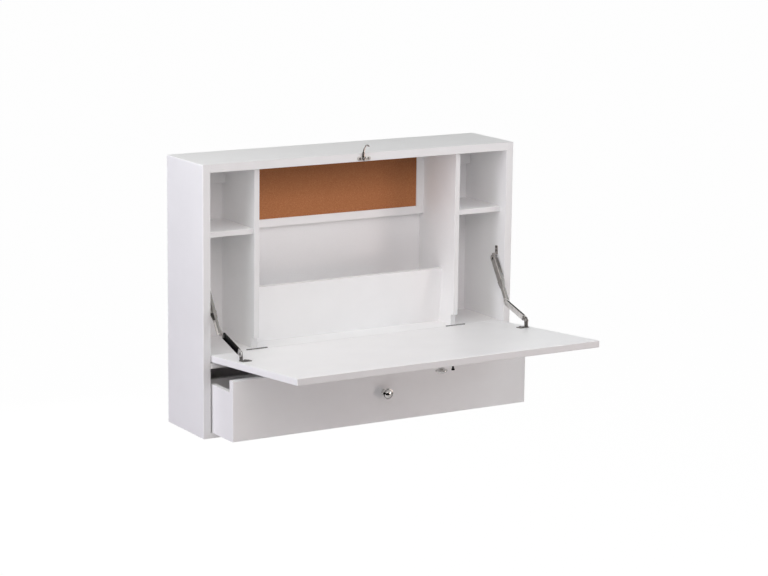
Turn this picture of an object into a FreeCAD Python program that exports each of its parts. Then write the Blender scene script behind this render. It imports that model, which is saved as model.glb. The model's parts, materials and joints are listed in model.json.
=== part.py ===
import FreeCAD, Part
import math
import os

# Fold down wall desk: a shallow wall-hung case with a drop flap on two folding stays,
# two cubbies, a pinboard, a document pocket, a hook latch and one drawer.
#
# Millimetres.  X runs along the wall to the right, Y from the room to the wall, Z up.
# The origin lies on the wall plane, midway between the two wall-screw holes.

# ---------------------------------------------------------------- driving dimensions
# Case
CASE_WIDTH = 780.0
CASE_HEIGHT = 590.0
CASE_DEPTH = 168.0
BOARD = 18.0                  # side and top boards
BOTTOM_BOARD = 12.0
OUTER_ROUND = 2.5             # softened outer edges of the painted boards
INNER_ROUND = 1.0             # softened edges round the opening
BACK_THICKNESS = 3.0
BACK_REBATE = 8.0             # how far the back panel reaches into the boards
BACK_PLAY = 0.4
DOWEL_RADIUS = 3.0
DOWEL_IN_SIDE = 12.0
DOWEL_IN_BOARD = 18.0
DOWEL_PLAY = 0.05
DOWEL_INSET = 38.0            # from the front and back edges of a board
PIN_RADIUS = 0.7              # pins of the back panel
PIN_HEAD_RADIUS = 1.6
PIN_HEAD = 0.6
PIN_LENGTH = 14.0
PINS_UP = 4                   # spaces between the pins up each side
PINS_ACROSS = 5               # and along the top and the bottom

# Writing bay
DRAWER_BAY_HEIGHT = 140.0
RAIL_THICKNESS = 12.0
RAIL_WIDTH = 60.0
FLOOR_THICKNESS = 16.0
CUBBY_WIDTH = 113.0
DIVIDER_THICKNESS = 12.0
SHELF_THICKNESS = 12.0
SHELF_SHARE = 0.638           # underside of a cubby shelf, as a share of the bay's height
SHELF_SETBACK = 6.0           # behind the divider's front edge
HINGE_NOTCH_DEPTH = 10.0
HINGE_NOTCH_HEIGHT = 24.0

# Wall fixing
HANGING_RAIL_HEIGHT = 50.0
HANGING_RAIL_THICKNESS = 15.0
WALL_HOLE_RADIUS = 3.0

# Pinboard
PINBOARD_HEIGHT = 156.0
PINBOARD_STRIP = 18.0         # width of a frame strip
PINBOARD_DEPTH = 15.0
CORK_THICKNESS = 6.0
CORK_RECESS = 3.0             # cork behind the face of its frame

# Document pocket
POCKET_HEIGHT = 123.0
POCKET_FOOT = 62.0            # foot of the pocket's front behind the divider's front edge
POCKET_LEAN = 6.0             # degrees, top towards the room
POCKET_THICKNESS = 12.0

# Flap
FLAP_THICKNESS = 15.0
FLAP_SIDE_GAP = 2.0
FLAP_TOP_GAP = 3.0
FLAP_ROUND = 1.5
FLAP_HEEL_GAP = 0.5           # from the hinge axis to the flap's rear edge
CLOSED_GAP = 1.0              # from the closed flap to the boards behind it
REST_TILT = 4.4               # degrees above level at which the flap stands

# Butt hinges
HINGE_LENGTH = 50.0
HINGE_LEAF = 12.0             # from the axis down to the leaf's lower edge
HINGE_METAL = 1.2
LEAF_GAP = 0.2                # between the two leaves with the flap level
KNUCKLE_RADIUS = 2.2
KNUCKLES = 5
KNUCKLE_GAP = 0.3
HINGE_PIN_RADIUS = 1.1
RUNNING_FIT = 0.05            # radial clearance of a pin that turns
HINGE_SCREW_SPREAD = 30.0

# Folding stays
STAY_METAL = 1.4
STAY_GAP = 0.3                # between neighbouring plates of a stay
STAY_STANDOFF = 7.9           # from the side board to the bracket's lug
FOOT_REACH = 128.0            # from the flap's axis to the foot pivot
UPPER_SHARE = 0.82            # upper link between its pivots, as a share of FOOT_REACH
LOWER_SHARE = 0.715
UPPER_WIDTH = 17.0
TONGUE_WIDTH = 11.5           # upper link near the elbow
LOWER_WIDTH = 13.0
CHANNEL_SHARE = 0.53          # part of the upper link that has its full width
UPPER_FLANGE = 7.0            # depth of the flanges
TONGUE_FLANGE = 5.0
LOWER_FLANGE = 4.0
UPPER_FLANGE_START = 2.0      # from a pivot to the nearest end of a flange
LOWER_FLANGE_START = 9.0
FOOT_HEIGHT = 16.5            # foot pivot above the writing surface
FOOT_PLATE_LENGTH = 22.0
FOOT_PLATE_WIDTH = 20.0
FOLD_LEAN = 5.0               # degrees by which the folded links lean towards the flap
BRACKET_WIDTH = 10.0
BRACKET_PLATE = 19.0
RIVET_RADIUS = 2.0
RIVET_HEAD_RADIUS = 3.4
RIVET_HEAD = 1.0
FLUSH_HEAD_RADIUS = 3.0       # countersunk end of a rivet between two links
FLUSH_HEAD = 0.9

# Screws
SCREW_RADIUS = 1.5
SCREW_HEAD_RADIUS = 2.8
SCREW_LENGTH = 11.0
SCREW_PLAY = 0.05

# Hook latch
LATCH_PLATE_LENGTH = 33.0
LATCH_PLATE_HEIGHT = 9.6
LATCH_PLATE_THICKNESS = 1.4
LATCH_DROP = 2.5              # below the middle of the top board's edge
LATCH_SCREW_SPREAD = 21.0
HOOK_THICKNESS = 2.2
HOOK_BAND = 3.0               # width of the hook's metal round the stud
HOOK_SHANK = 7.6              # and where it leaves the boss
HOOK_BOSS_RADIUS = 4.6
HOOK_REST_LEAN = 15.0         # degrees to the right of upright when undone
HOOK_PLAY = 1.3               # between the hook's mouth and the stud
HOOK_CURL = 40.0              # degrees by which the tip reaches past the stud
STUD_RADIUS = 2.2
STUD_HEAD_RADIUS = 3.8
STUD_HEAD = 3.4
STUD_HEIGHT = 11.0
STUD_INSET = 14.0             # from the flap's free edge
STUD_OFFSET = 6.0             # to the right of the latch pivot
KEEPER_RADIUS = 8.0
KEEPER_THICKNESS = 1.2

# Knobs
KNOB_RADIUS = 13.0
KNOB_HEIGHT = 23.0
KNOB_NECK_RADIUS = 4.2
KNOB_FOOT_RADIUS = 7.0
KNOB_SCREW_RADIUS = 2.0
FLAP_KNOB_INSET = 50.0        # from the flap's free edge

# Drawer
DRAWER_FRONT_THICKNESS = 15.0
DRAWER_SIDE_THICKNESS = 12.0
DRAWER_LENGTH = 150.0
DRAWER_SIDE_DROP = 27.0       # sides lower than the front
DRAWER_GAP = 2.5              # beside the front in its bay
DRAWER_LIFT = 1.2             # from the bottom board to the front
DRAWER_TOP_GAP = 7.2          # from the front to the rail
DRAWER_SIDE_INSET = 1.0       # side's outer face inside the end of the front
DRAWER_RUN_CLEARANCE = 0.3    # sides above the bottom board
DRAWER_BOTTOM_THICKNESS = 3.0
DRAWER_BOTTOM_HEIGHT = 10.0
DRAWER_GROOVE = 5.0
GROOVE_PLAY = 0.1
DRAWER_REST_PULL = 96.0       # how far the drawer stands open

# ---------------------------------------------------------------- derived positions
HALF = CASE_WIDTH / 2
INNER = HALF - BOARD
FRONT = -CASE_DEPTH
BACK_FACE = -BACK_THICKNESS
TOP_UNDER = HANGING_RAIL_HEIGHT / 2
TOP = TOP_UNDER + BOARD
BOTTOM = TOP - CASE_HEIGHT
BAY_BOTTOM = BOTTOM + BOTTOM_BOARD
RAIL_UNDER = BAY_BOTTOM + DRAWER_BAY_HEIGHT
FLOOR_UNDER = RAIL_UNDER + RAIL_THICKNESS
FLOOR_TOP = FLOOR_UNDER + FLOOR_THICKNESS
HINGE_Y = FRONT + FLAP_THICKNESS
HINGE_Z = FLOOR_TOP
INSIDE_FRONT = HINGE_Y + CLOSED_GAP
CUBBY_INNER = INNER - CUBBY_WIDTH
BAY_HALF = CUBBY_INNER - DIVIDER_THICKNESS
CUBBY_MIDDLE = (INNER + CUBBY_INNER) / 2
FLAP_HALF = INNER - FLAP_SIDE_GAP
FLAP_REACH = TOP_UNDER - FLOOR_TOP - FLAP_TOP_GAP
SHELF_HEIGHT = SHELF_SHARE * (TOP_UNDER - FLOOR_TOP)
UPPER_LINK = UPPER_SHARE * FOOT_REACH
LOWER_LINK = LOWER_SHARE * FOOT_REACH
LATCH_Z = TOP_UNDER + BOARD / 2 - LATCH_DROP
HINGE_X = BAY_HALF + DIVIDER_THICKNESS / 2
PIN_X = INNER + BACK_REBATE / 2
PIN_LOW = BAY_BOTTOM - BACK_REBATE / 2
PIN_HIGH = TOP_UNDER + BACK_REBATE / 2
REBATE_LOW = BAY_BOTTOM - BACK_REBATE
REBATE_HIGH = TOP_UNDER + BACK_REBATE

X_AXIS = FreeCAD.Vector(1, 0, 0)
Y_AXIS = FreeCAD.Vector(0, 1, 0)
Z_AXIS = FreeCAD.Vector(0, 0, 1)
TOLERANCE = 1e-6


# ---------------------------------------------------------------- small helpers
def block(x, y, z):
    """Box between the limits given as three pairs."""
    corner = FreeCAD.Vector(min(x), min(y), min(z))
    return Part.makeBox(abs(x[1] - x[0]), abs(y[1] - y[0]), abs(z[1] - z[0]), corner)


def rod(radius, start, end):
    """Cylinder from one point to another."""
    start = FreeCAD.Vector(*start)
    along = FreeCAD.Vector(*end) - start
    return Part.makeCylinder(radius, along.Length, start, along)


def cone(start_radius, end_radius, start, end):
    """Cone frustum from one point to another."""
    start = FreeCAD.Vector(*start)
    along = FreeCAD.Vector(*end) - start
    return Part.makeCone(start_radius, end_radius, along.Length, start, along)


def edges_on(shape, **planes):
    """Edges whose ends all lie on the given planes, such as x=0 and z=5."""
    def lies(vertex):
        return all(abs(getattr(vertex, name.upper()) - place) < TOLERANCE
                   for name, place in planes.items())
    return [edge for edge in shape.Edges if all(lies(vertex) for vertex in edge.Vertexes)]


def soften(shape, radius, *groups):
    """Round the edges that lie on each group of planes."""
    chosen = []
    for planes in groups:
        for edge in edges_on(shape, **planes):
            if not any(edge.isSame(other) for other in chosen):
                chosen.append(edge)
    return shape.makeFillet(radius, chosen)


def mirrored(shape):
    """The same piece on the other side of the desk."""
    return shape.mirror(FreeCAD.Vector(0, 0, 0), X_AXIS)


def pair(name, right):
    """Left and right pieces from the right one."""
    return {name + "_left": mirrored(right), name + "_right": right}


def prism_x(points, x_start, x_end):
    """Solid with an outline of (y, z) points, between two places along X."""
    corners = [FreeCAD.Vector(x_start, y, z) for y, z in points]
    face = Part.Face(Part.makePolygon(corners + corners[:1]))
    return face.extrude(X_AXIS * (x_end - x_start))


def pairs(shape):
    """Left and right pieces as one compound."""
    return Part.makeCompound(shape.Solids + mirrored(shape).Solids)


def arc(start, end, bulge):
    """Arc between two (radius, height) points, standing off its chord by bulge of its length."""
    (r1, z1), (r2, z2) = start, end
    middle = FreeCAD.Vector((r1 + r2) / 2 - (z2 - z1) * bulge, 0, (z1 + z2) / 2 + (r2 - r1) * bulge)
    return Part.Arc(FreeCAD.Vector(r1, 0, z1), middle, FreeCAD.Vector(r2, 0, z2))


def row(first, last, steps):
    """Places from first to last with so many even spaces between them."""
    count = round(steps)
    return [first + (last - first) * k / count for k in range(count + 1)]


def on_flap(shape):
    """Turn a piece drawn on the level flap to the flap's rest tilt."""
    turned = shape.copy()
    turned.rotate(FreeCAD.Vector(0, HINGE_Y, HINGE_Z), X_AXIS, -REST_TILT)
    return turned


def screw(head_at, direction, countersunk):
    """Wood screw whose head's outer face (or seat, if domed) lies at head_at."""
    at = FreeCAD.Vector(*head_at)
    into = FreeCAD.Vector(*direction)
    depth = SCREW_HEAD_RADIUS - SCREW_RADIUS
    shank = Part.makeCylinder(SCREW_RADIUS, SCREW_LENGTH, at, into)
    if countersunk:
        head = Part.makeCone(SCREW_HEAD_RADIUS, SCREW_RADIUS, depth, at, into)
    else:
        head = Part.makeCylinder(SCREW_HEAD_RADIUS, depth, at - into * depth, into)
        rim = [edge for edge in head.Edges if edge.Closed and
               (edge.CenterOfMass - at).Length > depth / 2]
        head = head.makeFillet(depth / 2, rim)
    return head.fuse(shank).removeSplitter()


def screw_hole(head_at, direction, countersunk):
    """Clearance for a screw, to be cut from what it goes through."""
    at = FreeCAD.Vector(*head_at)
    into = FreeCAD.Vector(*direction)
    depth = SCREW_HEAD_RADIUS - SCREW_RADIUS
    hole = Part.makeCylinder(SCREW_RADIUS + SCREW_PLAY, SCREW_LENGTH + SCREW_PLAY, at, into)
    if countersunk:
        sink = Part.makeCone(SCREW_HEAD_RADIUS + SCREW_PLAY, SCREW_RADIUS + SCREW_PLAY,
                             depth, at, into)
        hole = hole.fuse(sink)
    return hole


def cut_all(shape, tools):
    """Shape with every tool cut from it."""
    return shape.cut(tools) if tools else shape


# ---------------------------------------------------------------- screw places
def hinge_screw_places(side):
    """(head point, direction) of the screws of one hinge leaf; side is +1 floor, -1 flap."""
    z = HINGE_Z - (KNUCKLE_RADIUS + KNUCKLE_GAP + HINGE_LEAF) / 2
    return [((HINGE_X + shift, HINGE_Y + side * LEAF_GAP / 2, z), (0, side, 0))
            for shift in (-HINGE_SCREW_SPREAD / 2, HINGE_SCREW_SPREAD / 2)]


def bracket_screw_places():
    """Screws of the right stay's bracket on the side board."""
    start = stay_pivot()[1] + UPPER_WIDTH / 2 + 2 * STAY_METAL
    spots = (start + BRACKET_PLATE * 0.3, start + BRACKET_PLATE * 0.75)
    return [((INNER - STAY_METAL, stay_pivot()[0], z), (1, 0, 0)) for z in spots]


def foot_screw_places():
    """Screws of the right stay's foot on the level flap."""
    x = ear_face() - FOOT_PLATE_LENGTH * 0.6
    shift = FOOT_PLATE_WIDTH / 2 - SCREW_HEAD_RADIUS - 1.5
    return [((x, HINGE_Y - FOOT_REACH + dy, HINGE_Z + STAY_METAL), (0, 0, -1))
            for dy in (-shift, shift)]


def latch_screw_places():
    """Screws of the latch's base plate."""
    return [((x, FRONT - LATCH_PLATE_THICKNESS, LATCH_Z), (0, 1, 0))
            for x in (-LATCH_SCREW_SPREAD / 2, LATCH_SCREW_SPREAD / 2)]


def screws(places, countersunk):
    """All screws of a group as one compound of solids."""
    return Part.makeCompound([screw(at, into, countersunk) for at, into in places])


def screw_holes(places, countersunk):
    """Clearances of a group of screws."""
    return [screw_hole(at, into, countersunk) for at, into in places]


# ---------------------------------------------------------------- case
def dowel_rows():
    """(middle height, front edge, back edge) of each board dowelled to the sides."""
    return [((TOP_UNDER + TOP) / 2, FRONT, 0.0),
            ((BOTTOM + BAY_BOTTOM) / 2, FRONT, 0.0),
            ((FLOOR_UNDER + FLOOR_TOP) / 2, INSIDE_FRONT, BACK_FACE)]


def dowel_rods(play):
    """Right-hand dowels, or the holes for them when play is given."""
    rods = []
    for z, y_front, y_back in dowel_rows():
        for y in (y_front + DOWEL_INSET, y_back - DOWEL_INSET):
            rods.append(rod(DOWEL_RADIUS + play, (INNER - DOWEL_IN_BOARD - play, y, z),
                            (INNER + DOWEL_IN_SIDE + play, y, z)))
    return rods


def back_pins(play):
    """Pins round the back panel, or the holes for them when play is given."""
    places = [(x, z) for x in (-PIN_X, PIN_X) for z in row(PIN_LOW, PIN_HIGH, PINS_UP)]
    places += [(x, z) for z in (PIN_LOW, PIN_HIGH) for x in row(-PIN_X, PIN_X, PINS_ACROSS)[1:-1]]
    pins = []
    for x, z in places:
        shank = rod(PIN_RADIUS + play, (x, -PIN_LENGTH - play, z), (x, 0, z))
        head = rod(PIN_HEAD_RADIUS + play, (x, -PIN_HEAD - play, z), (x, 0, z))
        pins.append(shank.fuse(head).removeSplitter())
    return pins


def side_board():
    """Right side board, rebated for the back and drilled for dowels and screws."""
    shape = block((INNER, HALF), (FRONT, 0), (BOTTOM, TOP))
    shape = soften(shape, OUTER_ROUND, dict(x=HALF, y=FRONT), dict(x=HALF, z=TOP),
                   dict(x=HALF, z=BOTTOM))
    shape = soften(shape, INNER_ROUND, dict(x=INNER, y=FRONT))
    rebate = block((INNER, INNER + BACK_REBATE), (BACK_FACE, 0), (REBATE_LOW, REBATE_HIGH))
    tools = [rebate] + dowel_rods(DOWEL_PLAY) + screw_holes(bracket_screw_places(), False)
    return cut_all(shape, tools + back_pins(SCREW_PLAY))


def end_board(z_low, z_high, z_opening, rebate_z):
    """Top or bottom board between the sides."""
    shape = block((-INNER, INNER), (FRONT, 0), (z_low, z_high))
    shape = soften(shape, INNER_ROUND, dict(y=FRONT, z=z_opening))
    holes = dowel_rods(DOWEL_PLAY)
    holes += [mirrored(hole) for hole in holes]
    rebate = block((-INNER, INNER), (BACK_FACE, 0), (z_opening, rebate_z))
    return cut_all(shape, holes + [rebate] + back_pins(SCREW_PLAY))


def top_board():
    """Top board, with pilot holes for the latch plate."""
    shape = end_board(TOP_UNDER, TOP, TOP_UNDER, REBATE_HIGH)
    return cut_all(shape, screw_holes(latch_screw_places(), True) + latch_pin_hole())


def bottom_board():
    """Bottom board, on which the drawer runs."""
    return end_board(BOTTOM, BAY_BOTTOM, BAY_BOTTOM, REBATE_LOW)


def back_panel():
    """Thin back let into the rebates, with the two wall-screw holes."""
    x = INNER + BACK_REBATE - BACK_PLAY
    shape = block((-x, x), (BACK_FACE, 0), (REBATE_LOW + BACK_PLAY, REBATE_HIGH - BACK_PLAY))
    return cut_all(shape, wall_holes() + back_pins(SCREW_PLAY))


def wall_holes():
    """Holes for the screws that hang the desk."""
    return [rod(WALL_HOLE_RADIUS, (x, -CASE_DEPTH / 2, 0), (x, 1, 0))
            for x in (-CUBBY_MIDDLE, CUBBY_MIDDLE)]


def floor_board():
    """Floor of the writing bay, let out for the hinge leaves."""
    shape = block((-INNER, INNER), (INSIDE_FRONT, BACK_FACE), (FLOOR_UNDER, FLOOR_TOP))
    cuts = hinge_recess(1) + screw_holes(hinge_screw_places(1), True)
    cuts += [mirrored(tool) for tool in cuts]
    holes = dowel_rods(DOWEL_PLAY)
    holes += [mirrored(hole) for hole in holes]
    return cut_all(shape, cuts + holes)


def front_rail():
    """Rail over the drawer, under the floor board and the flap's heel."""
    shape = block((-INNER, INNER), (FRONT, FRONT + RAIL_WIDTH), (RAIL_UNDER, FLOOR_UNDER))
    return soften(shape, INNER_ROUND, dict(y=FRONT))


def case_pieces():
    """Boards of the case."""
    pieces = pair("side_board", side_board())
    pieces["top_board"] = top_board()
    pieces["bottom_board"] = bottom_board()
    pieces["back_panel"] = back_panel()
    pieces["floor_board"] = floor_board()
    pieces["front_rail"] = front_rail()
    pieces["case_dowels"] = pairs(Part.makeCompound(dowel_rods(0)))
    pieces["back_panel_pins"] = Part.makeCompound(back_pins(0))
    return pieces


# ---------------------------------------------------------------- writing bay
def divider():
    """Right divider, notched at its lower front corner for the flap hinge."""
    shape = block((BAY_HALF, CUBBY_INNER), (INSIDE_FRONT, BACK_FACE), (FLOOR_TOP, TOP_UNDER))
    shape = soften(shape, INNER_ROUND, dict(x=BAY_HALF, y=INSIDE_FRONT),
                   dict(x=CUBBY_INNER, y=INSIDE_FRONT))
    notch = block((BAY_HALF, CUBBY_INNER), (INSIDE_FRONT, INSIDE_FRONT + HINGE_NOTCH_DEPTH),
                  (FLOOR_TOP, FLOOR_TOP + HINGE_NOTCH_HEIGHT))
    return shape.cut(notch)


def cubby_shelf():
    """Right cubby shelf."""
    y_front = INSIDE_FRONT + SHELF_SETBACK
    z = FLOOR_TOP + SHELF_HEIGHT
    shape = block((CUBBY_INNER, INNER), (y_front, BACK_FACE), (z, z + SHELF_THICKNESS))
    return soften(shape, INNER_ROUND, dict(y=y_front, z=z), dict(y=y_front, z=z + SHELF_THICKNESS))


def hanging_rail():
    """Right hanging rail, screwed to the wall through its middle."""
    y_front = BACK_FACE - HANGING_RAIL_THICKNESS
    z_low = TOP_UNDER - HANGING_RAIL_HEIGHT
    shape = block((CUBBY_INNER, INNER), (y_front, BACK_FACE), (z_low, TOP_UNDER))
    shape = soften(shape, INNER_ROUND, dict(y=y_front, z=z_low))
    return cut_all(shape, wall_holes())


def pinboard_strip(x, z, rounded_z):
    """One strip of the pinboard frame."""
    y_front = BACK_FACE - PINBOARD_DEPTH
    shape = block(x, (y_front, BACK_FACE), z)
    return soften(shape, INNER_ROUND, *[dict(y=y_front, z=place) for place in rounded_z])


def pinboard_stile():
    """Right upright of the pinboard frame."""
    y_front = BACK_FACE - PINBOARD_DEPTH
    z_low = TOP_UNDER - PINBOARD_HEIGHT + PINBOARD_STRIP
    x = BAY_HALF - PINBOARD_STRIP
    shape = block((x, BAY_HALF), (y_front, BACK_FACE), (z_low, TOP_UNDER - PINBOARD_STRIP))
    return soften(shape, INNER_ROUND, dict(x=x, y=y_front))


def pinboard_pieces():
    """Cork sheet, its backing board and the four strips round them."""
    z_low = TOP_UNDER - PINBOARD_HEIGHT
    inner_low, inner_high = z_low + PINBOARD_STRIP, TOP_UNDER - PINBOARD_STRIP
    x = BAY_HALF - PINBOARD_STRIP
    cork_face = BACK_FACE - PINBOARD_DEPTH + CORK_RECESS
    cork_back = cork_face + CORK_THICKNESS
    full = (-BAY_HALF, BAY_HALF)
    pieces = pair("pinboard_stile", pinboard_stile())
    pieces["pinboard_top_strip"] = pinboard_strip(full, (inner_high, TOP_UNDER), [inner_high])
    pieces["pinboard_ledge"] = pinboard_strip(full, (z_low, inner_low), [z_low, inner_low])
    pieces["cork_sheet"] = block((-x, x), (cork_face, cork_back), (inner_low, inner_high))
    pieces["cork_backing"] = block((-x, x), (cork_back, BACK_FACE), (inner_low, inner_high))
    return pieces


def pocket_front():
    """Front of the document pocket, leaning towards the room."""
    lean = math.tan(math.radians(POCKET_LEAN))
    depth = POCKET_THICKNESS / math.cos(math.radians(POCKET_LEAN))
    foot = INSIDE_FRONT + POCKET_FOOT
    head = foot - lean * POCKET_HEIGHT
    z_top = FLOOR_TOP + POCKET_HEIGHT
    drop = POCKET_THICKNESS * math.sin(math.radians(POCKET_LEAN))
    across = POCKET_THICKNESS * math.cos(math.radians(POCKET_LEAN))
    outline = [(foot, FLOOR_TOP), (head, z_top), (head + across, z_top + drop),
               (foot + depth, FLOOR_TOP)]
    shape = prism_x(outline, -BAY_HALF, BAY_HALF)
    return soften(shape, INNER_ROUND, dict(y=head, z=z_top), dict(y=head + across, z=z_top + drop))


def bay_pieces():
    """Dividers, shelves, hanging rails, pinboard and pocket."""
    pieces = pair("divider", divider())
    pieces.update(pair("cubby_shelf", cubby_shelf()))
    pieces.update(pair("hanging_rail", hanging_rail()))
    pieces.update(pinboard_pieces())
    pieces["pocket_front"] = pocket_front()
    return pieces


# ---------------------------------------------------------------- butt hinges
def knuckle_spans(first):
    """Places along X of every second knuckle of the right hinge, from the given one."""
    pitch = HINGE_LENGTH / KNUCKLES
    start = HINGE_X - HINGE_LENGTH / 2
    return [(start + k * pitch + KNUCKLE_GAP / 2, start + (k + 1) * pitch - KNUCKLE_GAP / 2)
            for k in range(first, KNUCKLES, 2)]


def leaf_span(side):
    """Where a leaf lies along Y, side +1 on the floor's edge and -1 on the flap's."""
    near = HINGE_Y + side * LEAF_GAP / 2
    return (near, near + side * HINGE_METAL)


def hinge_leaf(side, first):
    """Right hinge's leaf on the edge of the floor (side +1) or of the level flap (side -1)."""
    ends = (HINGE_X - HINGE_LENGTH / 2, HINGE_X + HINGE_LENGTH / 2)
    neck = HINGE_Z - KNUCKLE_RADIUS - KNUCKLE_GAP
    foot = HINGE_Z - HINGE_LEAF
    leaf = block(ends, leaf_span(side), (foot, neck))
    leaf = soften(leaf, HINGE_METAL, dict(x=ends[0], z=foot), dict(x=ends[1], z=foot))
    parts = []
    for span in knuckle_spans(first):
        parts.append(block(span, leaf_span(side), (neck, HINGE_Z)))
        parts.append(rod(KNUCKLE_RADIUS, (span[0], HINGE_Y, HINGE_Z), (span[1], HINGE_Y, HINGE_Z)))
    bore = rod(HINGE_PIN_RADIUS + (RUNNING_FIT if side < 0 else 0),
               (ends[0], HINGE_Y, HINGE_Z), (ends[1], HINGE_Y, HINGE_Z))
    leaf = leaf.fuse(parts).cut(bore)
    return cut_all(leaf, screw_holes(hinge_screw_places(side), True)).removeSplitter()


def hinge_recess(side):
    """What the right hinge takes out of the floor (side +1) or the level flap (side -1)."""
    ends = (HINGE_X - HINGE_LENGTH / 2 - KNUCKLE_GAP, HINGE_X + HINGE_LENGTH / 2 + KNUCKLE_GAP)
    leaf = block(ends, (HINGE_Y, leaf_span(side)[1]),
                 (HINGE_Z - HINGE_LEAF - KNUCKLE_GAP, HINGE_Z + HINGE_METAL))
    groove = rod(KNUCKLE_RADIUS + KNUCKLE_GAP, (ends[0], HINGE_Y, HINGE_Z),
                 (ends[1], HINGE_Y, HINGE_Z))
    return [leaf, groove]


def hinge_pieces():
    """Two butt hinges: leaves, pins and screws."""
    ends = (HINGE_X - HINGE_LENGTH / 2, HINGE_X + HINGE_LENGTH / 2)
    pin = rod(HINGE_PIN_RADIUS, (ends[0], HINGE_Y, HINGE_Z), (ends[1], HINGE_Y, HINGE_Z))
    floor_screws = screws(hinge_screw_places(1), True)
    flap_screws = on_flap(screws(hinge_screw_places(-1), True))
    pieces = pair("hinge_floor_leaf", hinge_leaf(1, 0))
    pieces.update(pair("hinge_flap_leaf", on_flap(hinge_leaf(-1, 1))))
    pieces["hinge_pins"] = pairs(pin)
    pieces["hinge_floor_screws"] = pairs(floor_screws)
    pieces["hinge_flap_screws"] = pairs(flap_screws)
    return pieces


# ---------------------------------------------------------------- flap
def flap_board():
    """Writing surface, drawn level and turned to its rest tilt."""
    y = (HINGE_Y - FLAP_REACH, HINGE_Y - FLAP_HEEL_GAP)
    z = (HINGE_Z - FLAP_THICKNESS, HINGE_Z)
    shape = block((-FLAP_HALF, FLAP_HALF), y, z)
    shape = soften(shape, FLAP_ROUND, dict(y=y[0]), dict(x=-FLAP_HALF), dict(x=FLAP_HALF))
    cuts = hinge_recess(-1) + screw_holes(hinge_screw_places(-1), True)
    cuts += screw_holes(foot_screw_places(), False)
    cuts += [mirrored(tool) for tool in cuts]
    cuts.append(rod(KNOB_SCREW_RADIUS, knob_seat(), knob_screw_end()))
    cuts.append(rod(STUD_RADIUS, stud_seat(), stud_root()))
    return on_flap(cut_all(shape, cuts))


def knob_seat():
    """Middle of the flap knob's seat on the level flap's outer face."""
    return (0, HINGE_Y - FLAP_REACH + FLAP_KNOB_INSET, HINGE_Z - FLAP_THICKNESS)


def knob_screw_end():
    """End of the flap knob's threaded stud inside the flap."""
    return (0, knob_seat()[1], HINGE_Z - FLAP_THICKNESS / 3)


def stud_seat():
    """Middle of the latch stud's seat on the level flap's outer face."""
    return (STUD_OFFSET, HINGE_Y - FLAP_REACH + STUD_INSET, HINGE_Z - FLAP_THICKNESS)


def stud_root():
    """End of the latch stud's thread inside the flap."""
    return (STUD_OFFSET, stud_seat()[1], HINGE_Z - FLAP_THICKNESS / 3)


def knob(seat, outward):
    """Mushroom knob turned about its own axis, standing on seat."""
    foot, neck = (KNOB_FOOT_RADIUS, 0), (KNOB_NECK_RADIUS, KNOB_HEIGHT * 0.3)
    under, rim = (KNOB_RADIUS * 0.62, KNOB_HEIGHT * 0.52), (KNOB_RADIUS, KNOB_HEIGHT * 0.74)
    cap = KNOB_HEIGHT - rim[1]
    crown = (KNOB_RADIUS ** 2 + cap ** 2) / (2 * cap)
    shoulder = KNOB_HEIGHT - crown + math.sqrt(crown ** 2 - (KNOB_RADIUS / 2) ** 2)
    top = FreeCAD.Vector(0, 0, KNOB_HEIGHT)
    profile = [
        Part.LineSegment(FreeCAD.Vector(0, 0, 0), FreeCAD.Vector(KNOB_FOOT_RADIUS, 0, 0)),
        arc(foot, neck, -0.12),
        arc(neck, under, 0.1),
        arc(under, rim, -0.12),
        Part.Arc(FreeCAD.Vector(rim[0], 0, rim[1]),
                 FreeCAD.Vector(KNOB_RADIUS / 2, 0, shoulder), top),
        Part.LineSegment(top, FreeCAD.Vector(0, 0, 0)),
    ]
    face = Part.Face(Part.Wire([curve.toShape() for curve in profile]))
    shape = face.revolve(FreeCAD.Vector(0, 0, 0), Z_AXIS, 360)
    turn = FreeCAD.Rotation(Z_AXIS, FreeCAD.Vector(*outward))
    shape.Placement = FreeCAD.Placement(FreeCAD.Vector(*seat), turn)
    return shape


def flap_pieces():
    """Flap board with its knob, its threaded stud, and the latch's keeper."""
    x, y, z = stud_seat()
    plate = rod(KEEPER_RADIUS, (x, y, z), (x, y, z - KEEPER_THICKNESS))
    plate = soften(plate, KEEPER_THICKNESS / 2, dict(z=z - KEEPER_THICKNESS))
    plate = plate.cut(rod(STUD_RADIUS, (x, y, z), (x, y, z - KEEPER_THICKNESS)))
    shank = rod(STUD_RADIUS, stud_root(), (x, y, z - STUD_HEIGHT + STUD_HEAD))
    head = rod(STUD_HEAD_RADIUS, (x, y, z - STUD_HEIGHT + STUD_HEAD), (x, y, z - STUD_HEIGHT))
    head = soften(head, STUD_HEAD / 3, dict(z=z - STUD_HEIGHT), dict(z=z - STUD_HEIGHT + STUD_HEAD))
    knob_thread = rod(KNOB_SCREW_RADIUS, knob_seat(), knob_screw_end())
    return {
        "flap_board": flap_board(),
        "flap_knob": on_flap(knob(knob_seat(), (0, 0, -1)).fuse(knob_thread).removeSplitter()),
        "latch_keeper_plate": on_flap(plate),
        "latch_stud": on_flap(shank.fuse(head).removeSplitter()),
    }


# ---------------------------------------------------------------- folding stays
def stay_pivot():
    """(y, z) of the upper link's pivot, so placed that both links fold flat behind the flap."""
    lean = math.radians(FOLD_LEAN)
    spare = UPPER_LINK - LOWER_LINK
    folded_foot = (HINGE_Y + FOOT_HEIGHT, HINGE_Z + FOOT_REACH)
    return (folded_foot[0] + spare * math.sin(lean), folded_foot[1] + spare * math.cos(lean))


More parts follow.
